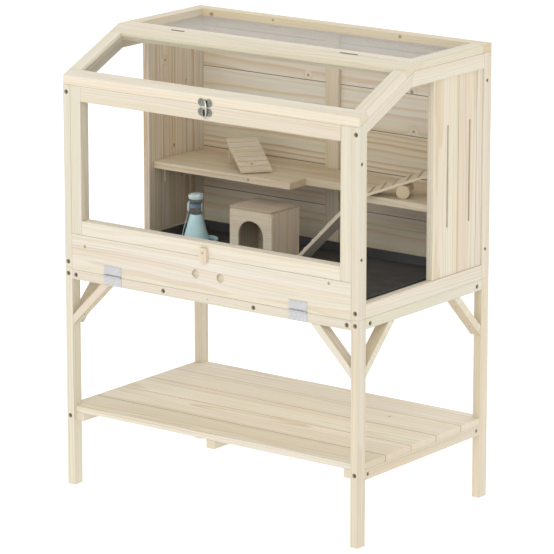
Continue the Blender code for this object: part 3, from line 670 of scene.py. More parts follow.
SLANT = math.radians(45)
ROOF_PITCH = math.radians(24.3)
TURNED_GRAIN = {
    "brace_front_left": (0, SLANT, 0), "brace_front_right": (0, -SLANT, 0),
    "brace_left_front": (SLANT, 0, -math.pi / 2), "brace_right_front": (SLANT, 0, -math.pi / 2),
    "brace_left_rear": (-SLANT, 0, -math.pi / 2), "brace_right_rear": (-SLANT, 0, -math.pi / 2),
    "side_rail_slope_left": (-ROOF_PITCH, 0, -math.pi / 2),
    "side_rail_slope_right": (-ROOF_PITCH, 0, -math.pi / 2),
}
BATTENS = {
    # name: (grain, tone, streaks, knots)
    "leg_front_left": ("Z", (0.96, 0.94, 0.89), 0.55, ()),
    "leg_front_right": ("Z", (0.92, 0.905, 0.86), 0.50, ()),
    "leg_rear_left": ("Z", (0.96, 0.93, 0.87), 0.55, ()),
    "leg_rear_right": ("Z", (0.96, 0.96, 0.91), 0.55, ()),
    "stand_rail_front": ("X", (0.93, 0.94, 0.91), 0.50, ()),
    "stand_rail_rear": ("X", (0.98, 0.96, 0.93), 0.6, ()),
    "stand_rail_left": ("Y", (0.99, 0.97, 0.94), 0.5, ()),
    "stand_rail_right": ("Y", (0.97, 0.985, 0.96), 0.45, ()),
    "shelf_batten_left": ("Y", (1.0, 1.0, 0.97), 0.5, ()),
    "shelf_batten_middle": ("Y", (1.0, 0.98, 0.96), 0.6, ()),
    "shelf_batten_right": ("Y", (1.06, 1.06, 1.04), 0.5, ()),
    "shelf_rail_left": ("Y", (1.0, 0.98, 0.95), 0.5, ()),
    "shelf_rail_right": ("Y", (0.92, 0.90, 0.84), 0.6, ()),
    "post_front_left": ("Z", (0.93, 0.955, 0.92), 0.45, ()),
    "post_front_right": ("Z", (0.935, 0.945, 0.91), 0.45, ()),
    "post_rear_left": ("Z", (0.98, 0.96, 0.93), 0.5, ()),
    "post_rear_right": ("Z", (0.95, 0.95, 0.92), 0.5, ()),
    "side_rail_low_left": ("Y", (0.98, 0.95, 0.92), 0.5, ()),
    "side_rail_low_right": ("Y", (1.0, 0.99, 0.98), 0.45, ()),
    "side_rail_top_left": ("Y", (0.98, 0.96, 0.93), 0.5, ()),
    "side_rail_top_right": ("Y", (1.0, 0.99, 0.97), 0.45, ()),
}
for name in TURNED_GRAIN:
    BATTENS[name] = (TURNED_GRAIN[name], (0.96, 0.96, 0.93), 0.5, ())
SHELF_KNOTS = {
    1: (((0.392, -0.18, 0.22), (0, 0, 1), 0.006),),
    3: (((-0.046, 0.032, 0.22), (0, 0, 1), 0.0045), ((0.290, 0.142, 0.22), (0, 0, 1), 0.0035)),
}
# the planks are toned paler from front to rear: painted light that makes up for the shade of the cage over
# the back of the shelf
PLANK_TONES_PAINTED_LIGHT = [(1.0, 0.99, 0.97), (1.03, 1.02, 1.01), (1.05, 1.05, 1.05), (1.06, 1.06, 1.06),
               (1.08, 1.08, 1.08)]
for n, tone in enumerate(PLANK_TONES_PAINTED_LIGHT):
    BATTENS[f"shelf_plank_{n + 1}"] = ("X", tone, 0.85, SHELF_KNOTS.get(n, ()))

for name, (grain, tone, streaks, knots) in BATTENS.items():
    low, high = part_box(name)
    joints = None
    if name.startswith("shelf_plank"):
        number = int(name.split("_")[-1]) - 1
        joints = ("Y", *joint_edges(number, len(PLANK_TONES_PAINTED_LIGHT), low.y, high.y), 0.0007)
    dress(name, pine(name, middle_of(name), grain, tone, streaks, knots=knots, joints=joints))
FLAP_KNOTS = (((-0.429, -0.294, 0.693), (0, 1, 0), 0.0035), ((0.403, -0.294, 0.712), (0, 1, 0), 0.0035))
FLAP_GLUE_LINE = 0.685
dress("flap", pine("flap", middle_of("flap"), "X", (1.03, 1.04, 1.05), 0.50, knots=FLAP_KNOTS,
                   glue=("Z", FLAP_GLUE_LINE)))
dress("floor_panel", pine("floor_panel", middle_of("floor_panel"), "X", (0.95, 0.90, 0.82), 0.6))
PLATFORM_KNOTS = (((-0.139, 0.030, 0.8555), (0, 1, 0), 0.0030), ((0.12, 0.215, 0.866), (0, 0, 1), 0.0035))
dress("platform", pine("platform", middle_of("platform"), "X", (0.98, 0.95, 0.87), 0.95,
                       figure=(1.0, 0.88, 0.74), knots=PLATFORM_KNOTS))
print("dressed", len(BATTENS) + 3, "wooden nodes")

# %% [markdown]
# ## Clear plastic panes
# The windows are thin acrylic sheets. Seen square on, a clean sheet only dims what is behind it a little.
# At a slant it mirrors the bright room. The surface is left partly see-through, and the share it keeps for
# itself grows with the slant, so light still reaches the inside of the cage.

# %% Panes
def acrylic(name, tint=(0.96, 0.975, 0.97, 1.0), least=0.002, most=0.5, power=6.0, shade=0.0):
    """Clear sheet: a smooth surface whose opacity grows from least to most with a power of the slant at
    which it is seen. Shade is the further share of the light that it keeps out of the cage."""
    material = bpy.data.materials.new(name)
    material.use_nodes = True
    tree = material.node_tree
    shader = tree.nodes["Principled BSDF"]
    shader.inputs["Base Color"].default_value = tint
    shader.inputs["Roughness"].default_value = 0.04
    place = put(tree, "TexCoord").outputs
    slant = put(tree, "LayerWeight", {"Blend": 0.5}).outputs["Facing"]
    share = spread(tree, maths(tree, "POWER", slant, power), 0.0, 1.0, least, most)
    dust = spread(tree, noise(tree, place["Object"], (900, 900, 900), 2.0), 0.66, 0.78, 0.0, 0.01)
    alpha = maths(tree, "ADD", share, dust)
    if shade:
        seen = put(tree, "LightPath").outputs["Is Camera Ray"]
        alpha = maths(tree, "ADD", alpha, spread(tree, seen, 0.0, 1.0, shade, 0.0))
    tree.links.new(alpha, shader.inputs["Alpha"])
    ripple = put(tree, "Bump", {"Strength": 0.04, "Distance": 0.001,
                                "Height": noise(tree, place["Object"], (5, 5, 5), 1.0)})
    tree.links.new(ripple.outputs[0], shader.inputs["Normal"])
    return material


PANE_SHADES = {"window_pane": 0.0, "roof_door_pane": 0.40, "side_window_left": 0.0,
               "side_window_right": 0.0}
for pane, shade in PANE_SHADES.items():
    dress(pane, acrylic(pane, shade=shade), ease=0.0003)
print("four clear panes")

# %% [markdown]
# ## The front window frame
# Two stiles run the whole height and two rails fit between them. Their tops are planed to the slope of
# the roof door that closes on them.

# %% Window frame
# how far apart boards lie that meet: in a frame, and where they are glued side by side
GAP = 0.0003
SEAM_GAP = 0.00005
X_OUT, X_IN = 0.500, 0.476
Y_FRONT, Y_FRONT_IN, Y_REAR, Y_REAR_IN = -0.300, -0.266, 0.310, 0.276
RIDGE_Y = -0.057
HEIGHT = 1.276
BOARD = 0.024
OPEN_HALF = 0.4395


def roof_top(y):
    """Height of the roof door's upper face."""
    return HEIGHT - (RIDGE_Y - y) * math.tan(ROOF_PITCH)


def roof_seam(y):
    """Height of its lower face, which is one board lower, measured square to the slope."""
    return roof_top(y) - BOARD / math.cos(ROOF_PITCH)


def front_board(name, x0, x1, low, high, tone, grain, streaks=0.45, knots=()):
    """A member of the window frame. Where high is None, its top follows the roof."""
    tops = (roof_seam(Y_FRONT) - GAP, roof_seam(Y_FRONT_IN) - GAP) if high is None else (high, high)
    outline = [(Y_FRONT, low), (Y_FRONT_IN, low), (Y_FRONT_IN, tops[1]), (Y_FRONT, tops[0])]
    centre = ((x0 + x1) / 2, (Y_FRONT + Y_FRONT_IN) / 2, (low + tops[0]) / 2)
    finish = pine(name, centre, grain, tone, streaks, knots=knots)
    return make(name, bar(outline, x0, x1), finish, stands_for=["window_frame"], even=True)


WINDOW_LOW, SILL_TOP, HEAD_LOW = 0.7235, 0.763, 1.0975
RAIL_HALF = OPEN_HALF - 0.0002
front_board("window_stile_left", -X_IN + GAP, -OPEN_HALF, WINDOW_LOW, None, (0.93, 0.94, 0.92), "Z")
front_board("window_stile_right", OPEN_HALF, X_IN - GAP, WINDOW_LOW, None, (0.92, 0.95, 0.92), "Z")
front_board("window_rail_low", -RAIL_HALF, RAIL_HALF, WINDOW_LOW, SILL_TOP, (1.01, 1.03, 1.02), "X")
front_board("window_rail_top", -RAIL_HALF, RAIL_HALF, HEAD_LOW, None, (0.95, 0.955, 0.92), "X")
print("window frame of four boards")

# %% [markdown]
# ## The roof door
# The door's front and ridge rails run its full width and are planed upright at the front and at the
# ridge, and two short stiles fit between them. It lies at the roof's pitch, so each member is an outline
# in the side view carried across.

# %% Roof door
DOOR_MEMBER = 0.038
mid_y = (RIDGE_Y + Y_FRONT) / 2
slope_mid = np.array([mid_y, (roof_top(mid_y) + roof_seam(mid_y)) / 2])
slope_along = np.array([math.cos(ROOF_PITCH), math.sin(ROOF_PITCH)])
slope_up = np.array([-math.sin(ROOF_PITCH), math.cos(ROOF_PITCH)])
inner_reach = (RIDGE_Y - Y_FRONT) / math.cos(ROOF_PITCH) / 2 - DOOR_MEMBER


def on_slope(along, up):
    """A point in the side view, from its distances along the roof and square to it."""
    return tuple(slope_mid + slope_along * along + slope_up * up)


def plumb(y):
    """The roof door's lower and upper faces at an upright cut."""
    return [(y, roof_seam(y)), (y, roof_top(y))]


HALF_THICK = BOARD / 2
ROOF_GRAIN = (-ROOF_PITCH, 0, -math.pi / 2)
door_boards = {
    "door_rail_front": (plumb(Y_FRONT) + [on_slope(-inner_reach, HALF_THICK),
                                          on_slope(-inner_reach, -HALF_THICK)],
                        -X_OUT, X_OUT, "X", (1.06, 1.055, 1.055)),
    "door_rail_ridge": (plumb(RIDGE_Y - GAP) + [on_slope(inner_reach, HALF_THICK),
                                                on_slope(inner_reach, -HALF_THICK)],
                        -X_OUT, X_OUT, "X", (1.07, 1.06, 1.03)),
}
stile = [on_slope(GAP - inner_reach, -HALF_THICK), on_slope(inner_reach - GAP, -HALF_THICK),
         on_slope(inner_reach - GAP, HALF_THICK), on_slope(GAP - inner_reach, HALF_THICK)]
door_boards["door_stile_left"] = (stile, -X_OUT, DOOR_MEMBER - X_OUT, ROOF_GRAIN, (1.05, 1.04, 1.0))
door_boards["door_stile_right"] = (stile, X_OUT - DOOR_MEMBER, X_OUT, ROOF_GRAIN, (1.05, 1.06, 1.06))
for name, (outline, x0, x1, grain, tone) in door_boards.items():
    centre = ((x0 + x1) / 2, *np.mean(outline, 0))
    make(name, bar(outline, x0, x1), pine(name, centre, grain, tone, 0.45),
         "roof_door", ["roof_door_frame"], even=True)
print("roof door of", len(door_boards), "boards, pitch", round(math.degrees(ROOF_PITCH), 1), "degrees")

# %% [markdown]
# ## The lid
# The rear half of the roof is flat. Two rails run its full width, and two short sides fit between them.
# The rear rail came from a browner tree and has a few small knots.

# %% Lid
LID_MEMBER = 0.040
LID_LOW = HEIGHT - BOARD
lid_y0, lid_y1 = RIDGE_Y + GAP, Y_REAR
lid_boards = {
    "lid_rail_front": ((-X_OUT, lid_y0), (X_OUT, lid_y0 + LID_MEMBER), "X", (1.02, 1.03, 1.0), ()),
    "lid_rail_rear": ((-X_OUT, lid_y1 - LID_MEMBER), (X_OUT, lid_y1), "X", (0.97, 0.90, 0.77),
                      (((-0.428, 0.27, 1.262), (0, 1, 0), 0.005), ((-0.21, 0.27, 1.268), (0, 1, 0), 0.003),
                       ((0.225, 0.27, 1.268), (0, 1, 0), 0.004))),
    "lid_side_left": ((-X_OUT, lid_y0 + LID_MEMBER + GAP), (LID_MEMBER - X_OUT, lid_y1 - LID_MEMBER - GAP),
                      "Y", (1.0, 0.98, 0.95), ()),
    "lid_side_right": ((X_OUT - LID_MEMBER, lid_y0 + LID_MEMBER + GAP), (X_OUT, lid_y1 - LID_MEMBER - GAP),
                       "Y", (1.0, 0.99, 0.97), ()),
}
for name, (low, high, grain, tone, knots) in lid_boards.items():
    low, high = (*low, LID_LOW), (*high, HEIGHT)
    centre = tuple((np.array(low) + np.array(high)) / 2)
    make(name, block(low, high), pine(name, centre, grain, tone, 0.5, knots=knots),
         stands_for=["lid_frame"], even=True)
print("lid frame of", len(lid_boards), "boards")

# %% [markdown]
# ## Metal
# The wire, hinges, clasp and screws are plated steel, each with a colour and a polish of its own. What
# makes such small pieces look real is that the polish isn't even, so one finish serves them all.

# %% Metal finish
def metal(name, colour, rough, brushed):
    """Plated steel: its roughness varies with fine brushing and soft, cloudy handling marks."""
    dulling = 0.12
    material = bpy.data.materials.new(name)
    material.use_nodes = True
    tree = material.node_tree
    shader = tree.nodes["Principled BSDF"]
    place = put(tree, "TexCoord").outputs["Object"]
    lines = noise(tree, place, brushed, 2.0)
    cloud = noise(tree, place, (140, 140, 140), 2.0)
    worn = maths(tree, "ADD", maths(tree, "MULTIPLY", lines, 0.5), maths(tree, "MULTIPLY", cloud, 0.5))
    dullness = spread(tree, worn, 0.3, 0.7, rough - dulling, rough + dulling)
    tree.links.new(dullness, shader.inputs["Roughness"])
    dim = spread(tree, cloud, 0.35, 0.65, 0.88, 1.0)
    tint = put(tree, "CombineXYZ", {0: dim, 1: dim, 2: dim}).outputs[0]
    tree.links.new(blend(tree, 1.0, tuple(colour) + (1.0,), tint, "MULTIPLY"), shader.inputs["Base Color"])
    shader.inputs["Metallic"].default_value = 1.0
    bump = put(tree, "Bump", {"Strength": 0.12, "Distance": 0.0002, "Height": lines})
    tree.links.new(bump.outputs[0], shader.inputs["Normal"])
    return material


print("metal finish ready")

# %% [markdown]
# ## The wire
# The sheet is two layers of thin straight wires, one on top of the other, spot-welded where they cross.
# Each layer is one wire's points repeated at every place, by adding a row of places to the wire.

# %% Wire mesh
WIRE_R = 0.0005
WIRE_SIDES = 6
WIRE_PITCH = 0.008
mesh_low, mesh_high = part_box("lid_mesh")
wire_z = (mesh_low.z + mesh_high.z) / 2


def wires(start, end, places, axis, height):
    """Straight six-sided wires along X or Y: one wire's ring points, added to every place in turn."""
    sides = WIRE_SIDES
    angle = 2 * np.pi * np.arange(sides) / sides
    ring = np.stack([np.cos(angle), np.sin(angle)], 1) * WIRE_R
    one = np.array([[end_at, a, b] for end_at in (start, end) for a, b in ring])
    points = one[None] + np.stack([np.zeros_like(places), places, np.full_like(places, height)], 1)[:, None]
    faces = [grid_faces(2, sides), np.stack([np.arange(sides)[::-1], sides + np.arange(sides)])]
    jumps = 2 * sides * np.arange(len(places))[:, None, None]
    faces = [(group[None] + jumps).reshape(-1, group.shape[1]) for group in faces]
    points = points.reshape(-1, 3)
    if axis == "Y":
        points = points[:, [1, 0, 2]]
        faces = [group[:, ::-1] for group in faces]
    return points, faces


def even_places(start, end):
    """Places at an even pitch, with half a pitch left at either end."""
    count = int(round((end - start) / WIRE_PITCH))
    return start + (np.arange(count) + 0.5) * (end - start) / count


across = wires(mesh_low.x, mesh_high.x, even_places(mesh_low.y, mesh_high.y), "X", wire_z + WIRE_R)
# the lower layer is let into the upper one by a tenth of its radius, as the welds press it in
lengthways = wires(mesh_low.y, mesh_high.y, even_places(mesh_low.x, mesh_high.x), "Y",
                   wire_z - WIRE_R * 0.9)
mesh_finish = metal("galvanised_wire", (0.80, 0.79, 0.77), 0.55, (400, 400, 400))
make("lid_wires", joined([across, lengthways]), mesh_finish, stands_for=["lid_mesh"],
     smooth=70)
wire_counts = [len(layer[0]) // (2 * WIRE_SIDES) for layer in (across, lengthways)]
print("wires:", wire_counts[0], "across and", wire_counts[1], "lengthways")

# %% [markdown]
# ## The back wall
# Narrow boards are glued one above the other, with a fine groove at every joint that is darkened by
# painted shade and a little dirt, and a flat strip stands upright in the middle to stiffen them. The
# platform cuts the strip in two. The late wood is orange-brown here, and one board just above the platform
# is strongly streaked.

# %% Back wall
SEAMS = (0.6243, 0.639, 0.756, 0.873, 0.990, 1.107, 1.224, 1.2517)
WALL_TONES = [(1.02, 1.00, 0.95), (1.08, 1.06, 1.02), (1.08, 1.06, 1.02), (1.03, 1.02, 0.97),
              (1.06, 1.07, 1.08), (1.08, 1.08, 1.09), (1.04, 1.02, 0.98)]
WALL_KNOTS = {
    4: (((0.258, 0.30, 1.003), (0, 1, 0), 0.0035),),
    5: (((0.251, 0.30, 1.113), (0, 1, 0), 0.0045), ((-0.103, 0.30, 1.120), (0, 1, 0), 0.0030)),
}
STREAKED_PLANK = 3
WALL_FRONT = Y_REAR - 0.018
for n, tone in enumerate(WALL_TONES):
    name = f"back_plank_{n + 1}"
    low = (-X_IN + GAP, WALL_FRONT, SEAMS[n] + SEAM_GAP)
    high = (X_IN - GAP, Y_REAR, SEAMS[n + 1] - SEAM_GAP)
    centre = tuple((np.array(low) + np.array(high)) / 2)
    ends = joint_edges(n, len(WALL_TONES), low[2], high[2])
    streaks = 1.0 if n == STREAKED_PLANK else 0.62
    finish = pine(name, centre, "X", tone, streaks, rings=0.019 if n < STREAKED_PLANK else 0.015,
                  knots=WALL_KNOTS.get(n, ()), joints=("Z", *ends, 0.0011), figure=(1.0, 0.86, 0.70))
    make(name, block(low, high, 0.0014), finish, stands_for=["back_wall"], even=True)
STRIP_X, STRIP_THICK = (-0.034, 0.011), 0.012
for name, low, high in (("back_strip_low", 0.6372, 0.8457), ("back_strip_high", 0.8664, 1.2514)):
    low, high = (STRIP_X[0], WALL_FRONT - STRIP_THICK, low), (STRIP_X[1], WALL_FRONT - 0.0001, high)
    centre = tuple((np.array(low) + np.array(high)) / 2)
    make(name, block(low, high), pine(name, centre, "Z", (0.97, 0.92, 0.84), 0.6), even=True)
print("back wall of", len(WALL_TONES), "boards")

# %% [markdown]
# ## The boarded sides
# Each side has three upright boards. Two of them have a long slot for air, milled with a round cutter, so
# its ends are round.

# %% Side boards
SIDE_LOW, SIDE_HIGH = 0.6643, 1.2097
SIDE_EDGES = (0.043, 0.1615, 0.248, 0.2757)
SLOT_LOW, SLOT_HIGH, SLOT_HALF = 0.798, 1.080, 0.004
SLOT_PLACES = (0.112, 0.215, None)
SIDE_THICK, SIDE_EASE = 0.020, 0.0010
SIDE_TONES = ((0.985, 0.965, 0.93), (0.99, 0.96, 0.93), (0.985, 0.965, 0.94))
LEFT_KNOTS = (((-0.48, 0.1564, 0.8963), (1, 0, 0), 0.004), ((-0.48, 0.118, 1.147), (1, 0, 0), 0.003))
for side, sign in (("left", -1), ("right", 1)):
    x0, x1 = sorted((sign * X_IN, sign * (X_IN + SIDE_THICK)))
    for n, slot_y in enumerate(SLOT_PLACES):
        y0, y1 = SIDE_EDGES[n] + SEAM_GAP, SIDE_EDGES[n + 1] - SEAM_GAP
        name = f"side_board_{side}_{n + 1}"
        if slot_y is None:
            shell = block((x0, y0, SIDE_LOW), (x1, y1, SIDE_HIGH), SIDE_EASE)
        else:
            slot = (slot_y - SLOT_HALF, SLOT_LOW, slot_y + SLOT_HALF, SLOT_HIGH)
            shell = stood(slotted((y0, SIDE_LOW, y1, SIDE_HIGH), slot, x0, x1, SIDE_EASE))
        centre = ((x0 + x1) / 2, (y0 + y1) / 2, (SIDE_LOW + SIDE_HIGH) / 2)
        knots = LEFT_KNOTS if name == "side_board_left_1" else ()
        streaks = 0.6 if side == "right" else 1.0
        finish = pine(name, centre, "Z", SIDE_TONES[n], streaks, knots=knots, figure=(1.0, 0.93, 0.80),
                      joints=("Y", *joint_edges(n, len(SLOT_PLACES), y0, y1), 0.0005))
        make(name, shell, finish, stands_for=[f"side_panel_{side}"], even=True)
print("side boards with slots at", SLOT_PLACES[:2])

# %% [markdown]
# ## The litter tray
# The tray is one thin sheet of black plastic, drawn over a mould, so every edge is round and the walls
# lean out a little. It is worked out as one outline with round corners that steps in and up again and
# again: under the base, up the outside, over the rim, down the inside, and across the deck.

# %% Tray
TRAY = (-0.462, -0.284, 0.6366, 0.462, 0.262, 0.664)
TRAY_WALL, TRAY_CORNER = 0.0025, 0.022


def plastic(name, colour, rough=0.45, grain=0.35, scuffs=0.0):
    """Moulded plastic: a fine leather grain in the surface, and cloudy patches of wear."""
    material = bpy.data.materials.new(name)
    material.use_nodes = True
    tree = material.node_tree
    shader = tree.nodes["Principled BSDF"]
    place = put(tree, "TexCoord").outputs["Object"]
    cloud = noise(tree, place, (28, 28, 28), 3.0)
    tree.links.new(spread(tree, cloud, 0.3, 0.7, rough - 0.08, rough + 0.08), shader.inputs["Roughness"])
    dull = tuple(min(1.0, c * 1.12 + scuffs) for c in colour)
    tree.links.new(blend(tree, spread(tree, cloud, 0.35, 0.7), tuple(colour) + (1.0,), dull + (1.0,)),
                   shader.inputs["Base Color"])
    bump = put(tree, "Bump", {"Strength": grain, "Distance": 0.0002,
                              "Height": noise(tree, place, (1400, 1400, 1400), 2.0)})
    tree.links.new(bump.outputs[0], shader.inputs["Normal"])
    return material


def tray_shell():
    """Rows of the tray's outline: each is a distance in from its outer edge and a height. The corner's
    radius shrinks by the same distance, so the wall is equally thick all round."""
    x0, y0, z0, x1, y1, z1 = TRAY
    corners = np.array([(x0, y0), (x1, y0), (x1, y1), (x0, y1)])
    deck = z0 + TRAY_WALL
    rows = [(0.0105, z0), (0.0085, z0 + 0.0006), (0.0068, z0 + 0.0025), (0.0040, z1 - 0.0040),
            (0.0006, z1 - 0.0034), (0.0, z1 - 0.0028), (0.0, z1 - 0.0008), (0.0008, z1),
            (0.0048, z1), (0.0060, z1 - 0.0006), (0.0066, z1 - 0.0020), (0.0088, deck + 0.0030),
            (0.0098, deck + 0.0010), (0.0120, deck)]
    rings = [rounded(inset(corners, by), TRAY_CORNER - by, 8) for by, _ in rows]
    count = len(rings[0])
    points = np.concatenate([np.concatenate([ring, np.full((count, 1), z)], 1)
                             for ring, (_, z) in zip(rings, rows)])
    last = (len(rows) - 1) * count
    caps = np.stack([np.arange(count)[::-1], last + np.arange(count)])
    return points, [grid_faces(len(rows), count), caps]


make("litter_tray", tray_shell(), plastic("litter_tray", (0.024, 0.024, 0.026), 0.42, scuffs=0.006),
     stands_for=["tray"], smooth=60)
print("tray corner radius", TRAY_CORNER * 1000, "mm, wall", TRAY_WALL * 1000, "mm")

# %% [markdown]
# ## The ramp to the platform
# A plain board leans at 45 degrees from the tray to the opening in the platform, with small cleats nailed
# across it so that paws get a grip. It is built level, as blocks, then turned up into place.

# %% Platform ramp
DECK = 0.6394
PLATFORM_TOP = 0.866
RAMP_HEAD = (0.2314, PLATFORM_TOP - GAP)
RAMP_Y = (0.0623, 0.1303)
RAMP_THICK = 0.010
RAMP_RISE = RAMP_HEAD[1] - DECK
RAMP_LONG = RAMP_RISE * math.sqrt(2)
RAMP_CLEATS = 8
CLEAT_HALF, CLEAT_TALL, CLEAT_INSET = 0.0035, 0.0024, 0.003


def level_ramp():
    """The board lying along X with its top at height 0. Its two ends are cut at 45 degrees, so that they
    sit flat on the tray and flat against the platform."""
    under = -RAMP_THICK
    side_view = [(0, -RAMP_LONG), (under, RAMP_THICK - RAMP_LONG), (under, under), (0, 0)]
    return stood(bar(side_view, *RAMP_Y, ease=0.0009))


def cleats():
    """Strips across the board, at equal steps up it."""
    places = np.linspace(0.10, 0.90, RAMP_CLEATS) * -RAMP_LONG
    y0, y1 = RAMP_Y[0] + CLEAT_INSET, RAMP_Y[1] - CLEAT_INSET
    return joined([block((x - CLEAT_HALF, y0, 0.0), (x + CLEAT_HALF, y1, CLEAT_TALL), 0.0007)
                   for x in places])


RAMP_TILT = (0, -math.radians(45), 0)
RAMP_AT = (RAMP_HEAD[0], 0, RAMP_HEAD[1])
RAMP_GRAIN = (0, math.radians(45), 0)
make("ramp_board", moved(level_ramp(), RAMP_TILT, RAMP_AT),
     pine("ramp_board", (0.12, 0.096, 0.75), RAMP_GRAIN, (1.08, 1.08, 1.04), 0.7),
     stands_for=["platform_ramp"], even=True)
make("ramp_cleats", moved(cleats(), RAMP_TILT, RAMP_AT),
     pine("ramp_cleats", (0.12, 0.096, 0.75), "Y", (1.08, 1.08, 1.04), 0.6),
     stands_for=["platform_ramp"], even=True)
print("ramp is", round(RAMP_LONG * 1000), "mm long, with", RAMP_CLEATS, "cleats")

# %% [markdown]
# ## The seesaw
# A thin board with cleats rocks on a short length of turned rod. The rod is a plain turned form: its long
# side shows straight grain, and its ends show the rings.

# %% Seesaw
LOG_R, LOG_LONG = 0.0188, 0.076
SEESAW_AT = (0.356, 0.113, PLATFORM_TOP + GAP + LOG_R)
SEESAW_TURN = math.radians(25.7)
SEESAW_HALF, SEESAW_WIDE, SEESAW_THICK = 0.106, 0.078, 0.007
SEESAW_TILT = 2 * math.atan2(LOG_R, SEESAW_HALF) - GAP / SEESAW_HALF


def log_shell():
    """A rod spun round Z with edges eased over 1.2 mm, laid along Y, then turned with the seesaw."""
    half = LOG_LONG / 2
    end = [(LOG_R * 0.5, half), (LOG_R - 0.0012, half), (LOG_R - 0.0003, half - 0.0004),
           (LOG_R, half - 0.0013)]
    profile = [(0, -half)] + [(radius, -z) for radius, z in end] + [(LOG_R, 0)] + end[::-1] + [(0, half)]
    return moved(moved(turned(profile, 48), (-math.pi / 2, 0, 0)), (0, 0, SEESAW_TURN), SEESAW_AT)


def rocked(shell):
    """From lying level over the log to its place: tilted about Y, then turned about Z."""
    return moved(moved(shell, (0, -SEESAW_TILT, 0)), (0, 0, SEESAW_TURN), SEESAW_AT)


def turned_grain(tilt, turn):
    """The turn that lays a tilted and turned board's own X along X again."""
    back = (Euler((0, 0, turn)).to_matrix() @ Euler((0, tilt, 0)).to_matrix()).transposed()
    return tuple(back.to_euler())


LOG_GRAIN = (0, 0, -SEESAW_TURN - math.pi / 2)
make("seesaw_rod", log_shell(),
     pine("seesaw_rod", SEESAW_AT, LOG_GRAIN, (0.93, 0.88, 0.78), 1.0, rings=0.0032),
     stands_for=["seesaw_log"], smooth=50)
LEVEL_LOW = LOG_R + GAP
LEVEL_TOP = LEVEL_LOW + SEESAW_THICK
wide = SEESAW_WIDE / 2
seesaw_board = block((-SEESAW_HALF, -wide, LEVEL_LOW), (SEESAW_HALF, wide, LEVEL_TOP), 0.0009)
cleat_places = (-0.088, -0.054, -0.020, 0.020, 0.054, 0.088)
cleat_y, cleat_top = wide - 0.001, LEVEL_TOP + 0.0035
seesaw_cleats = joined([block((x - 0.003, -cleat_y, LEVEL_TOP), (x + 0.003, cleat_y, cleat_top), 0.0007)
                        for x in cleat_places])
board_grain = turned_grain(-SEESAW_TILT, SEESAW_TURN)
# the cleats are toned darker than the board: painted shade for the dark lines that fall beside them
for name, shell, grain, tone in (("seesaw_board_top", seesaw_board, board_grain, (1.03, 0.99, 0.91)),
                                 ("seesaw_cleats", seesaw_cleats, LOG_GRAIN, (0.76, 0.69, 0.60))):
    make(name, rocked(shell), pine(name, SEESAW_AT, grain, tone, 0.7), "seesaw",
         ["seesaw_board"], even=True)
print("seesaw rests", round(math.degrees(SEESAW_TILT), 1), "degrees off level")

# %% [markdown]
# ## The small climbing ramp
# Seven slats are nailed across two side rails, and the high end stands on two props. It is built along its
# own slope, tilted, then turned to lie across the platform.

# %% Climbing ramp
CLIMB_WIDE, CLIMB_RUN, CLIMB_RISE, CLIMB_TOE = 0.090, 0.178, 0.069, 0.0095
CLIMB_FOOT = (-0.137, 0.100, PLATFORM_TOP + GAP)
CLIMB_TURN = math.radians(52) + math.pi / 2
CLIMB_PITCH = math.atan2(CLIMB_RISE - CLIMB_TOE, CLIMB_RUN)
CLIMB_LONG = CLIMB_RUN / math.cos(CLIMB_PITCH)
SLAT_THICK = 0.008


def climb(shell):
    """From lying flat along X to its place: tilted up about Y, then turned about Z."""
    tilted = moved(shell, (0, -CLIMB_PITCH, 0), (0, 0, CLIMB_TOE))
    return moved(tilted, (0, 0, CLIMB_TURN), CLIMB_FOOT)


# the slats are a little apart, and the rails and props stand in from the slats' ends
SLATS, SLAT_APART = 7, 0.0014
STICK_HALF, STICK_INSET = 0.005, 0.012
slat_edges = np.linspace(0.0, CLIMB_LONG, SLATS + 1)
half = CLIMB_WIDE / 2
slats = joined([block((a + SLAT_APART, -half, -SLAT_THICK), (b - SLAT_APART, half, 0.0), 0.0012)
                for a, b in zip(slat_edges[:-1], slat_edges[1:])])
rail_x, rail_low = (0.032, CLIMB_LONG - 0.008), -SLAT_THICK - 0.009
prop_x, prop_high = (CLIMB_RUN - 0.020, CLIMB_RUN - 0.010), CLIMB_RISE - SLAT_THICK - 0.015
rails, props = [], []
for y in (-half + STICK_INSET, half - STICK_INSET):
    y0, y1 = y - STICK_HALF, y + STICK_HALF
    rails.append(block((rail_x[0], y0, rail_low), (rail_x[1], y1, -SLAT_THICK), 0.0008))
    props.append(block((prop_x[0], y0, 0.0), (prop_x[1], y1, prop_high), 0.0008))
props = moved(joined(props), (0, 0, CLIMB_TURN), CLIMB_FOOT)
across_grain = (0, 0, -(CLIMB_TURN + math.pi / 2))
along_grain = (0, 0, -CLIMB_TURN)
ramp_knot = (((-0.1685, 0.1172, 0.9), (0, 0, 1), 0.0035),)
for name, shell, grain, knots in (("climbing_slats", climb(slats), across_grain, ramp_knot),
                                  ("climbing_rails", climb(joined(rails)), along_grain, ()),
                                  ("climbing_props", props, "Z", ())):
    finish = pine(name, (-0.20, 0.16, 0.90), grain, (1.0, 0.95, 0.87), 0.7, knots=knots)
    make(name, shell, finish, stands_for=["climbing_ramp"], even=True)
print("climbing ramp at", round(math.degrees(CLIMB_PITCH), 1), "degrees")

# %% [markdown]
# ## The hut
# The sleeping hut is a bottomless box of thin boards. Its front has an arched door, so the board is one
# closed section carried round the arch, from one foot to the other.

# %% Hut
HUT_LOW = (-0.146, -0.014, DECK)
HUT_SIZE = (0.145, 0.128, 0.157)
HUT_WALL = 0.008
ARCH_R, ARCH_TALL = 0.043, 0.121
hut_x1 = HUT_LOW[0] + HUT_SIZE[0]
hut_y1 = HUT_LOW[1] + HUT_SIZE[1]
hut_top = DECK + HUT_SIZE[2]
roof_low = hut_top - HUT_WALL


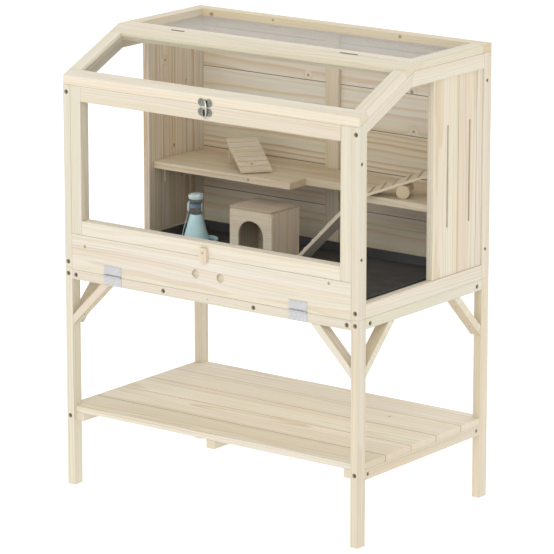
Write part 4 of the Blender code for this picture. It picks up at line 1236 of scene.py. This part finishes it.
def arch_front():
    """The front board. Its door's outline goes up the right side, round the arch and down the left; each
    point's partner on the board's edge lies straight out from the arch's centre."""
    middle = HUT_LOW[0] + HUT_SIZE[0] / 2
    spring = DECK + ARCH_TALL - ARCH_R
    steps = 32
    angle = np.pi * np.arange(steps + 1) / steps
    half = HUT_SIZE[0] / 2
    over = roof_low - spring
    away = np.stack([np.cos(angle), np.sin(angle)], 1)
    small = 1e-6
    reach = np.minimum(half / np.maximum(abs(away[:, 0]), small), over / np.maximum(away[:, 1], small))
    feet = np.array([[half, DECK - spring], [half, (DECK - spring) / 2]])
    outer = away * reach[:, None]
    inner = away * ARCH_R
    door_feet = np.array([[ARCH_R, DECK - spring], [ARCH_R, (DECK - spring) / 2]])
    mirror = np.array([-1, 1])
    outer = np.concatenate([feet, outer, feet[::-1] * mirror])
    inner = np.concatenate([door_feet, inner, door_feet[::-1] * mirror])
    ease = 0.0008
    away = np.concatenate([[[1, 0]] * 2, away, [[-1, 0]] * 2])
    flats = (outer - away * ease * 0.6, inner + away * ease)
    shell = pierced(outer, inner, 0.0, HUT_WALL, flats, ease, closed=False)
    return moved(shell, (math.pi / 2, 0, 0), (middle, HUT_LOW[1] + HUT_WALL, spring))


# the hut's sides and roof are toned darker than its front and back: painted shade, and on the roof the
# shadow of the platform above it
HUT_PALE, HUT_SIDE_SHADE_TONE, HUT_ROOF_SHADE_TONE = (1.05, 1.02, 0.95), (0.90, 0.83, 0.75), (0.72, 0.66, 0.62)
hut_x0, hut_y0 = HUT_LOW[:2]
side_y0, side_y1 = hut_y0 + HUT_WALL + 0.0001, hut_y1 - HUT_WALL - 0.0001
hut_boards = {
    "hut_front": (arch_front(), "X", HUT_PALE, 0.5),
    "hut_roof": (block((hut_x0, hut_y0, roof_low + 0.0001), (hut_x1, hut_y1, hut_top), 0.0012),
                 "X", HUT_ROOF_SHADE_TONE, 0.5),
    "hut_back": (block((hut_x0, hut_y1 - HUT_WALL, DECK), (hut_x1, hut_y1, roof_low), 0.0008),
                 "X", HUT_PALE, 0.6),
    "hut_side_left": (block((hut_x0, side_y0, DECK), (hut_x0 + HUT_WALL, side_y1, roof_low), 0.0008),
                      "Z", HUT_SIDE_SHADE_TONE, 0.9),
    "hut_side_right": (block((hut_x1 - HUT_WALL, side_y0, DECK), (hut_x1, side_y1, roof_low), 0.0008),
                       "Z", HUT_SIDE_SHADE_TONE, 0.9),
}
for name, (shell, grain, tone, streaks) in hut_boards.items():
    centre = tuple((shell[0].min(0) + shell[0].max(0)) / 2)
    make(name, shell, pine(name, centre, grain, tone, streaks), stands_for=["hut"],
         smooth=25, even=True)
print("hut of", len(hut_boards), "boards, door", ARCH_R * 2000, "mm wide")

# %% [markdown]
# ## The water dispenser
# A hollow cone stands in a round dish and carries an upturned bottle, which keeps the dish full. Each
# part is a turned form of its own material: light blue dish, cone and cap, and a clear bottle. A white
# clip holds the bottle's neck, a thin strap runs from it down to the dish, and a plain dark band goes
# round the bottle.

# %% Water dispenser
BOTTLE_AT = (-0.329, 0.069)
DISH_AT = (-0.316, 0.079)


def at_bottle(shell):
    """A shell built on the origin, stood on the deck where the bottle is."""
    return moved(shell, to=(*BOTTLE_AT, DECK))


# profiles from the axis outwards and back, in metres, as pairs of a radius and a height
cone = [(0, 0.0042), (0.0392, 0.0042), (0.0402, 0.0050), (0.0404, 0.0070), (0.0180, 0.0880),
        (0.0174, 0.0905), (0.0162, 0.0918), (0.0140, 0.0922), (0, 0.0922)]
bottle = [(0, 0.0924), (0.0140, 0.0924), (0.0160, 0.0932), (0.0170, 0.0950), (0.0172, 0.1040),
          (0.0172, 0.1280), (0.0168, 0.1335), (0.0160, 0.1352), (0.0150, 0.1360), (0, 0.1360)]
label = [(0, 0.1120), (0.0170, 0.1120), (0.0174, 0.1122), (0.0174, 0.1218), (0.0170, 0.1220), (0, 0.1220)]
cap = [(0, 0.1363), (0.0190, 0.1363), (0.0204, 0.1368), (0.0210, 0.1380), (0.0210, 0.1475),
       (0.0207, 0.1486), (0.0199, 0.1494), (0.0190, 0.1494), (0.0183, 0.1486), (0.0181, 0.1462),
       (0.0176, 0.1455), (0.0150, 0.1455), (0.0146, 0.1462), (0.0144, 0.1500), (0.0138, 0.1508),
       (0.0120, 0.1510), (0, 0.1510)]
dish = [(0, 0), (0.0435, 0), (0.0450, 0.0010), (0.0456, 0.0030), (0.0460, 0.0195), (0.0458, 0.0212),
        (0.0450, 0.0220), (0.0440, 0.0220), (0.0432, 0.0212), (0.0428, 0.0190), (0.0422, 0.0070),
        (0.0405, 0.0046), (0.0380, 0.0040), (0, 0.0040)]
water = [(0, 0.0042), (0.0374, 0.0042), (0.0400, 0.0050), (0.0416, 0.0072), (0.0423, 0.0130),
         (0.0420, 0.0132), (0, 0.0132)]
ROUND = 64
blue_finish = plastic("light_blue_plastic", (0.60, 0.87, 0.95), 0.36, 0.12)
cap_finish = plastic("pale_blue_cap", (0.66, 0.82, 0.87), 0.36, 0.12)
for name, profile, finish in (("dispenser_cone", cone, blue_finish), ("dispenser_cap", cap, cap_finish)):
    make(name, at_bottle(turned(profile, ROUND)), finish, stands_for=["water_dispenser"],
         smooth=50)
make("dispenser_dish", moved(turned(dish, ROUND), to=(*DISH_AT, DECK)), blue_finish,
     stands_for=["water_dispenser"], smooth=50)


def bottle_plastic(name, tint, least, most, rough):
    """Clear blown plastic or water: see-through where it faces the eye, denser towards its edges."""
    material = acrylic(name, tint, least, most, 1.5)
    material.node_tree.nodes["Principled BSDF"].inputs["Roughness"].default_value = rough
    return material


make("dispenser_bottle", at_bottle(turned(bottle, ROUND)),
     bottle_plastic("bottle_plastic", (0.20, 0.27, 0.30, 1.0), 0.18, 0.85, 0.10),
     stands_for=["water_dispenser"], smooth=50)
make("dispenser_label", at_bottle(turned(label, ROUND)), plastic("bottle_label", (0.16, 0.25, 0.36), 0.4),
     smooth=40)
water_finish = bottle_plastic("dish_water", (0.10, 0.30, 0.33, 1.0), 0.35, 0.80, 0.05)
make("dispenser_water", moved(turned(water, ROUND), to=(*DISH_AT, DECK)), water_finish,
     smooth=50)
# the clip and its strap are on the bottle's left, and the catch is on its right
CLIP_TURN, CATCH_TURN = math.radians(-168), math.radians(10)
clip = joined([block((0.0180, -0.0070, 0.100), (0.0245, 0.0070, 0.122), 0.0012),
               block((0.0190, -0.0050, 0.122), (0.0235, 0.0050, 0.127), 0.0010)])
catch = block((0.0176, -0.0030, 0.102), (0.0196, 0.0030, 0.124), 0.0008)
strap_path = np.array([(0.0225, 0, 0.101), (0.0265, 0, 0.090), (0.0315, 0, 0.072), (0.0365, 0, 0.054),
                       (0.0405, 0, 0.040), (0.0435, 0, 0.027)])
strap = tube(strap_path, 0.0011, 8, side=(0, 1, 0))
white = plastic("white_clip", (0.66, 0.74, 0.74), 0.4)
for name, shell, angle in (("dispenser_clip", clip, CLIP_TURN), ("dispenser_strap", strap, CLIP_TURN),
                           ("dispenser_catch", catch, CATCH_TURN)):
    make(name, at_bottle(moved(shell, (0, 0, angle))), white, smooth=40)
print("dispenser stands", round(cap[-1][1] * 1000), "mm tall")

# %% [markdown]
# ## The flap's hinges
# The flap hangs on two plated butt hinges. Each has two thin leaves and a knuckle rolled round a pin, in
# five rings that belong to one leaf and the other by turns. Low screw heads hold the leaves.

# %% Flap hinges
HINGES = (("left", -0.330), ("right", 0.303))
HINGE_WIDE, LEAF_THICK, KNUCKLE_R = 0.060, 0.0012, 0.0032
AXIS_Y, AXIS_Z = -0.3035, 0.6219
LEAF_BACK = Y_FRONT - GAP
plate = metal("plated_hinge", (0.66, 0.66, 0.67), 0.42, (20, 20, 700))
dark_steel = metal("dark_steel", (0.26, 0.23, 0.19), 0.45, (900, 900, 900))
screw_steel = metal("screw_steel", (0.55, 0.54, 0.52), 0.32, (900, 900, 900))


def pan_head(radius, tall, steps=20):
    """A low domed screw head on its back, facing up Z, with a small round drive hole."""
    drive = radius * 0.28
    return turned([(0, -tall * 0.2), (radius * 0.98, -tall * 0.2), (radius, tall * 0.25),
                   (radius * 0.86, tall * 0.72), (radius * 0.55, tall * 0.96), (drive * 1.25, tall),
                   (drive, tall * 0.9), (drive * 0.8, tall * 0.35), (0, tall * 0.3)], steps)


def facing_front(shell, x, y, z):
    """Turned so that what faced up faces the front."""
    return moved(shell, (math.pi / 2, 0, 0), (x, y, z))


def knuckles(x0, x1, shares, parts, radius, axis, steps):
    """Short rings round a hinge's axis, which is a place in the YZ plane. The way from x0 to x1 is cut in
    equal shares, and each part named gets a rod with eased ends, laid along X."""
    long = (x1 - x0) / shares
    apart, ease = 0.0002, 0.0004
    rods = []
    for n in parts:
        a, b = n * long + apart, (n + 1) * long - apart
        profile = [(0, a), (radius - ease, a), (radius, a + ease), (radius, b - ease), (radius - ease, b),
                   (0, b)]
        rods.append(moved(turned(profile, steps), (0, math.pi / 2, 0), (x0, *axis)))
    return rods


LEAF_LOW, LEAF_HIGH, LEAF_APART = 0.5962, 0.6500, 0.0012
LEAF_SCREWS = (-0.020, 0.0, 0.020)
for side, middle_x in HINGES:
    x0, x1 = middle_x - HINGE_WIDE / 2, middle_x + HINGE_WIDE / 2
    front = LEAF_BACK - LEAF_THICK
    round_pin = (KNUCKLE_R, (AXIS_Y, AXIS_Z), 24)
    fixed = [block((x0, front, LEAF_LOW), (x1, LEAF_BACK, AXIS_Z - LEAF_APART), 0.0003)]
    fixed += knuckles(x0, x1, 5, (0, 2, 4), *round_pin)
    moving = [block((x0, front, AXIS_Z + LEAF_APART), (x1, LEAF_BACK, LEAF_HIGH), 0.0003)]
    moving += knuckles(x0, x1, 5, (1, 3), *round_pin)
    make(f"hinge_fixed_leaf_{side}", joined(fixed), plate,
         stands_for=[f"flap_hinge_{side}"])
    make(f"hinge_moving_leaf_{side}", joined(moving), plate, "flap")
    for body, z in (("root", 0.6075), ("flap", 0.6370)):
        heads = joined([facing_front(pan_head(0.0030, 0.0007), middle_x + dx, front, z)
                        for dx in LEAF_SCREWS])
        make(f"hinge_screws_{side}_{body}", heads, plate, body, smooth=50)
print("two flap hinges,", HINGE_WIDE * 1000, "mm wide")

# %% [markdown]
# ## The turn button
# A small block of wood keeps the flap shut. It turns about the one screw through it, which is above its
# middle, so it hangs down by itself.

# %% Turn button
BUTTON_AT = (-0.010, 0.7365)
BUTTON_FRONT, BUTTON_BACK = -0.310, -0.3003
button_outline = [(0.7095, -0.022), (0.7505, -0.022), (0.7505, 0.002), (0.7095, 0.002)]
button = stood(bar(button_outline, BUTTON_FRONT, BUTTON_BACK, ease=0.0012, corner=0.004))
make("button", button, pine("button", (-0.010, -0.305, 0.73), "Z", (1.0, 0.94, 0.88), 0.4),
     "turn_button", ["turn_button"], smooth=40, even=True)
make("button_screw", facing_front(pan_head(0.0038, 0.0016), BUTTON_AT[0], BUTTON_FRONT, BUTTON_AT[1]),
     screw_steel, "turn_button", smooth=50)
print("turn button", round((button_outline[1][0] - button_outline[0][0]) * 1000), "mm tall")

# %% [markdown]
# ## The clasp
# Two pressed plates with rounded lobes are screwed above and below the joint of the roof door. A bent
# hook hangs from the pivot on the upper one and catches on the lower one's stud and staple. The plates
# are outlines made of circles, and the hook is a round bar carried along a bow.

# %% Clasp
CLASP_X = -0.006


def lobed_plate(wide, tall, thick):
    """A flat plate on the XY plane: at each angle its edge is the farthest of two round lobes and a
    narrower waist. A lobe's edge is where the ray meets its circle: the distance along the ray to the
    point nearest the circle's centre, and on from there by half the chord."""
    steps = 72
    waist_half, waist_most = tall * 0.40, tall * 0.62
    angle = 2 * np.pi * np.arange(steps) / steps
    direction = np.stack([np.cos(angle), np.sin(angle)], 1)
    lobe = tall * 0.5
    centres = np.array([(-wide / 2 + lobe, 0.0), (wide / 2 - lobe, 0.0)])
    along = direction @ centres.T
    under = lobe ** 2 - (centres ** 2).sum(1) + along ** 2
    reach = np.where(under > 0, along + np.sqrt(np.maximum(under, 0)), 0).max(1)
    waist = waist_half / np.maximum(abs(direction[:, 1]), 1e-6)
    reach = np.maximum(reach, np.minimum(waist, waist_most))
    outline = direction * reach[:, None]
    ease = 0.0003
    rows = [(1.0, 0.0), (1.0, thick - ease), (1.0 - ease / tall * 2, thick)]
    points = np.concatenate([np.concatenate([outline * k, np.full((steps, 1), z)], 1) for k, z in rows])
    last = (len(rows) - 1) * steps
    caps = np.stack([np.arange(steps)[::-1], last + np.arange(steps)])
    return points, [grid_faces(len(rows), steps), caps]


KEEPER_Z, HASP_PLATE_Z = 1.1205, 1.1465
PLATE_THICK = 0.0012
zinc = metal("clasp_zinc", (0.30, 0.30, 0.26), 0.36, (700, 700, 700))
for name, z, body, node in (("clasp_low_plate", KEEPER_Z, "root", ["clasp_keeper"]),
                            ("clasp_high_plate", HASP_PLATE_Z, "roof_door", [])):
    shell = facing_front(lobed_plate(0.048, 0.022, PLATE_THICK), CLASP_X, LEAF_BACK, z)
    make(name, shell, zinc, body, node, smooth=40)
    heads = joined([facing_front(pan_head(0.0030, 0.0011), CLASP_X + dx, LEAF_BACK - PLATE_THICK, z)
                    for dx in (-0.0165, 0.0165)])
    make(name + "_screws", heads, dark_steel, body, smooth=50)


def hook():
    """A round bar bent in a bow, with t from 0 at the top to 1 at the bottom: it swings to the right by
    sin(pi * t) and forward by its square. Its radius grows above the middle and closes to a point."""
    t = np.linspace(0, 1, 40)
    z = 1.152 - 0.050 * t
    y = -0.3036 - 0.0030 * np.sin(np.pi * t) ** 2 - 0.0006 * t
    x = CLASP_X + 0.0015 + 0.0065 * np.sin(np.pi * t) - 0.001 * t
    radius = 0.0018 + 0.0012 * np.sin(np.pi * np.minimum(t * 1.4, 1.0))
    radius = radius * np.sqrt(np.clip((1 - t) / 0.06, 0.05, 1))
    return tube(np.stack([x, y, z], 1), radius, 14)


make("clasp_hook", hook(), metal("bright_hook", (0.62, 0.63, 0.60), 0.26, (500, 500, 500)),
     "clasp_hasp", ["clasp_hasp"], smooth=60)
ON_PLATE = LEAF_BACK - 0.0010
stud = turned([(0, 0), (0.0030, 0), (0.0030, 0.0030), (0.0026, 0.0036), (0.0014, 0.0036),
               (0.0012, 0.0016), (0, 0.0014)], 24)
make("clasp_stud", facing_front(stud, CLASP_X, ON_PLATE, 1.110), dark_steel, smooth=50)
black_steel = metal("black_steel", (0.035, 0.034, 0.030), 0.55, (900, 900, 900))
staple = block((CLASP_X - 0.0060, LEAF_BACK - 0.0026, 1.1085), (CLASP_X + 0.0030, ON_PLATE, 1.1270), 0.0006)
pivot = block((CLASP_X + 0.0005, LEAF_BACK - 0.0024, 1.1420), (CLASP_X + 0.0085, ON_PLATE, 1.1525), 0.0006)
make("clasp_staple", staple, black_steel, smooth=50)
make("clasp_pivot", pivot, black_steel, "roof_door", smooth=50)
print("clasp between z", KEEPER_Z, "and", HASP_PLATE_Z)

# %% [markdown]
# ## Bolts and screws
# The battens are drilled where they meet, and a dark bolt head with a hexagon socket sits in each
# counterbore. Smaller screws hold the sides. A head is one turned form; the places are a list.

# %% Bolts and screws
BOLT_SINK, SCREW_SINK = 0.0060, 0.0042


def bolt_head(radius=0.0047, tall=0.0045):
    """A socket head: the inner wall is six-sided and ends in a flat floor."""
    drive = radius * 0.55
    profile = [(0, 0), (radius * 0.96, 0), (radius, tall * 0.12), (radius, tall * 0.86),
               (radius * 0.93, tall), (drive * 1.2, tall), (drive, tall * 0.9), (drive, tall * 0.35),
               (0, tall * 0.30)]
    return turned(profile, 24, hexed=(6, 7))


def set_in(shell, place, outward, sink):
    """A head stood in a hole: its Z is turned to the outward direction and it starts that deep."""
    turn = Vector(outward).to_track_quat("Z", "Y").to_euler()
    seat = np.array(place, float) - np.array(outward, float) * sink
    return moved(shell, tuple(turn), tuple(seat))


bolts = []
screws = []
BOLT_X = 0.489
ENDS = (("front", Y_FRONT, -1), ("rear", Y_REAR, 1))
for end, y, way in ENDS:
    for sign in (-1, 1):
        bolts += [((sign * BOLT_X, y, z), (0, way, 0)) for z in (0.609, 0.200, 0.6425, 1.120)]
        bolts += [((sign * x, y, 0.608), (0, way, 0)) for x in (0.462, 0.154)]
for sign in (-1, 1):
    bolts += [((sign * X_OUT, y, 0.608), (sign, 0, 0)) for y in (-0.247, 0.254)]
    screws += [((sign * X_OUT, y, 0.1967), (sign, 0, 0)) for y in (-0.254, 0.259)]
    screws += [((sign * X_OUT, -0.2875, z), (sign, 0, 0)) for z in (0.786, 1.0415)]
    screws += [((sign * X_OUT, 0.2906, z), (sign, 0, 0)) for z in (0.707, 1.175)]
make("bolts", joined([set_in(bolt_head(), place, out, BOLT_SINK) for place, out in bolts]), dark_steel,
     smooth=40)
make("screws", joined([set_in(bolt_head(0.0034, 0.0030), place, out, SCREW_SINK) for place, out in screws]),
     dark_steel, smooth=40)


def hole_rim_shade(hole):
    """A dark ring round a drilled hole, partly the burnt edge of the wood and partly painted shade at the
    hole's rim: a very thin ring that lies on the wood round it.
    """
    steps = 24
    angle = 2 * np.pi * np.arange(steps) / steps
    circle = np.stack([np.cos(angle), np.sin(angle)], 1)
    outer, inner = circle * (hole + 0.0009), circle * (hole - 0.0002)
    return pierced(outer, inner, 0.0, 0.00012, (outer * 0.99, inner * 1.01), 0.00003)


# dark rings round the holes: painted shade at each rim, together with the burnt edge of the wood
edges = [set_in(hole_rim_shade(0.0055), place, out, 0.00004) for place, out in bolts]
edges += [set_in(hole_rim_shade(0.0040), place, out, 0.00004) for place, out in screws]
make("hole_rims_shade_and_burn", joined(edges), plastic("hole_rim_shade_and_burn", (0.20, 0.135, 0.080), 0.8, 0.5),
     smooth=50)
print(len(bolts), "bolts and", len(screws), "screws")

# %% [markdown]
# ## Nails and small screws
# Four nails hold the hut's front. Each brace has two screws through its slanted underside, whose height
# falls by as much as the place moves in towards the post.

# %% Small nails and brace screws
NAIL_IN, NAIL_DOWN = 0.006, (0.016, 0.030)
nails = []
for x in (hut_x0 + NAIL_IN, hut_x1 - NAIL_IN):
    for down in NAIL_DOWN:
        nails.append(facing_front(pan_head(0.0009, 0.0004, 10), x, hut_y0, hut_top - down))
make("hut_nails", joined(nails), dark_steel, smooth=50)

S45 = math.sqrt(0.5)
BRACE_TOP, BRACE_LEG = 0.5947, 0.131
BRACE_Y, BRACE_X = -0.283, 0.483
brace_screws = []
for sign in (-1, 1):
    underside = [(along, BRACE_TOP - (BRACE_LEG - along)) for along in (0.030, 0.100)]
    # front braces slant inwards along X, and side braces along Y from the front and the rear posts
    brace_screws += [((sign * (X_IN - along), BRACE_Y, z), (-sign * S45, 0, -S45))
                     for along, z in underside]
    for way, corner in ((1, Y_FRONT_IN), (-1, Y_REAR_IN)):
        brace_screws += [((sign * BRACE_X, corner + way * along, z), (0, way * S45, -S45))
                         for along, z in underside]
small_screws = [set_in(pan_head(0.0022, 0.0006, 12), place, out, 0.0) for place, out in brace_screws]
# one more in the middle of the front rail
small_screws.append(facing_front(pan_head(0.0018, 0.0006, 12), -0.002, Y_FRONT, 0.6072))
make("small_screws", joined(small_screws), dark_steel, smooth=50)
print(len(nails), "nails and", len(small_screws), "small screws")

# %% [markdown]
# ## The roof door's hinges
# Two narrow hinges sit in the joint between the lid and the roof door. Only their knuckles show, three to
# a hinge: the outer two stay with the lid, and the middle one turns with the door.

# %% Roof door hinges
RIDGE_HINGES = ((-0.313, -0.267), (0.2600, 0.3185))
RIDGE_PIN = (0.0024, (RIDGE_Y, HEIGHT - 0.0012), 20)
for number, (x0, x1) in enumerate(RIDGE_HINGES):
    for body, parts in (("root", (0, 2)), ("roof_door", (1,))):
        rods = joined(knuckles(x0, x1, 3, parts, *RIDGE_PIN))
        make(f"roof_hinge_{number + 1}_{body}", rods, dark_steel, body, smooth=40)
print(len(RIDGE_HINGES), "roof hinges")

# %% [markdown]
# ## The studio's floor
# The floor is a wide sheet of matt paper that glows a little, so it stays white in the camera's view. It
# belongs to the studio and not to the cage.

# %% Floor of the studio
floor_mesh = bpy.data.meshes.new("studio_floor")
REACH = 90.0
corners = [(-REACH, -REACH, 0), (REACH, -REACH, 0), (REACH, REACH, 0), (-REACH, REACH, 0)]
floor_mesh.from_pydata(corners, [], [(0, 1, 2, 3)])
floor = bpy.data.objects.new("studio_floor", floor_mesh)
bpy.context.scene.collection.objects.link(floor)
floor_finish = bpy.data.materials.new("studio_floor")
floor_finish.use_nodes = True
paper = floor_finish.node_tree.nodes["Principled BSDF"].inputs
paper["Base Color"].default_value = (0.42, 0.42, 0.42, 1)
paper["Roughness"].default_value = 0.9
paper["Emission Color"].default_value = (1, 1, 1, 1)
paper["Emission Strength"].default_value = 0.70
floor_mesh.materials.append(floor_finish)
print("floor", 2 * REACH, "m wide")
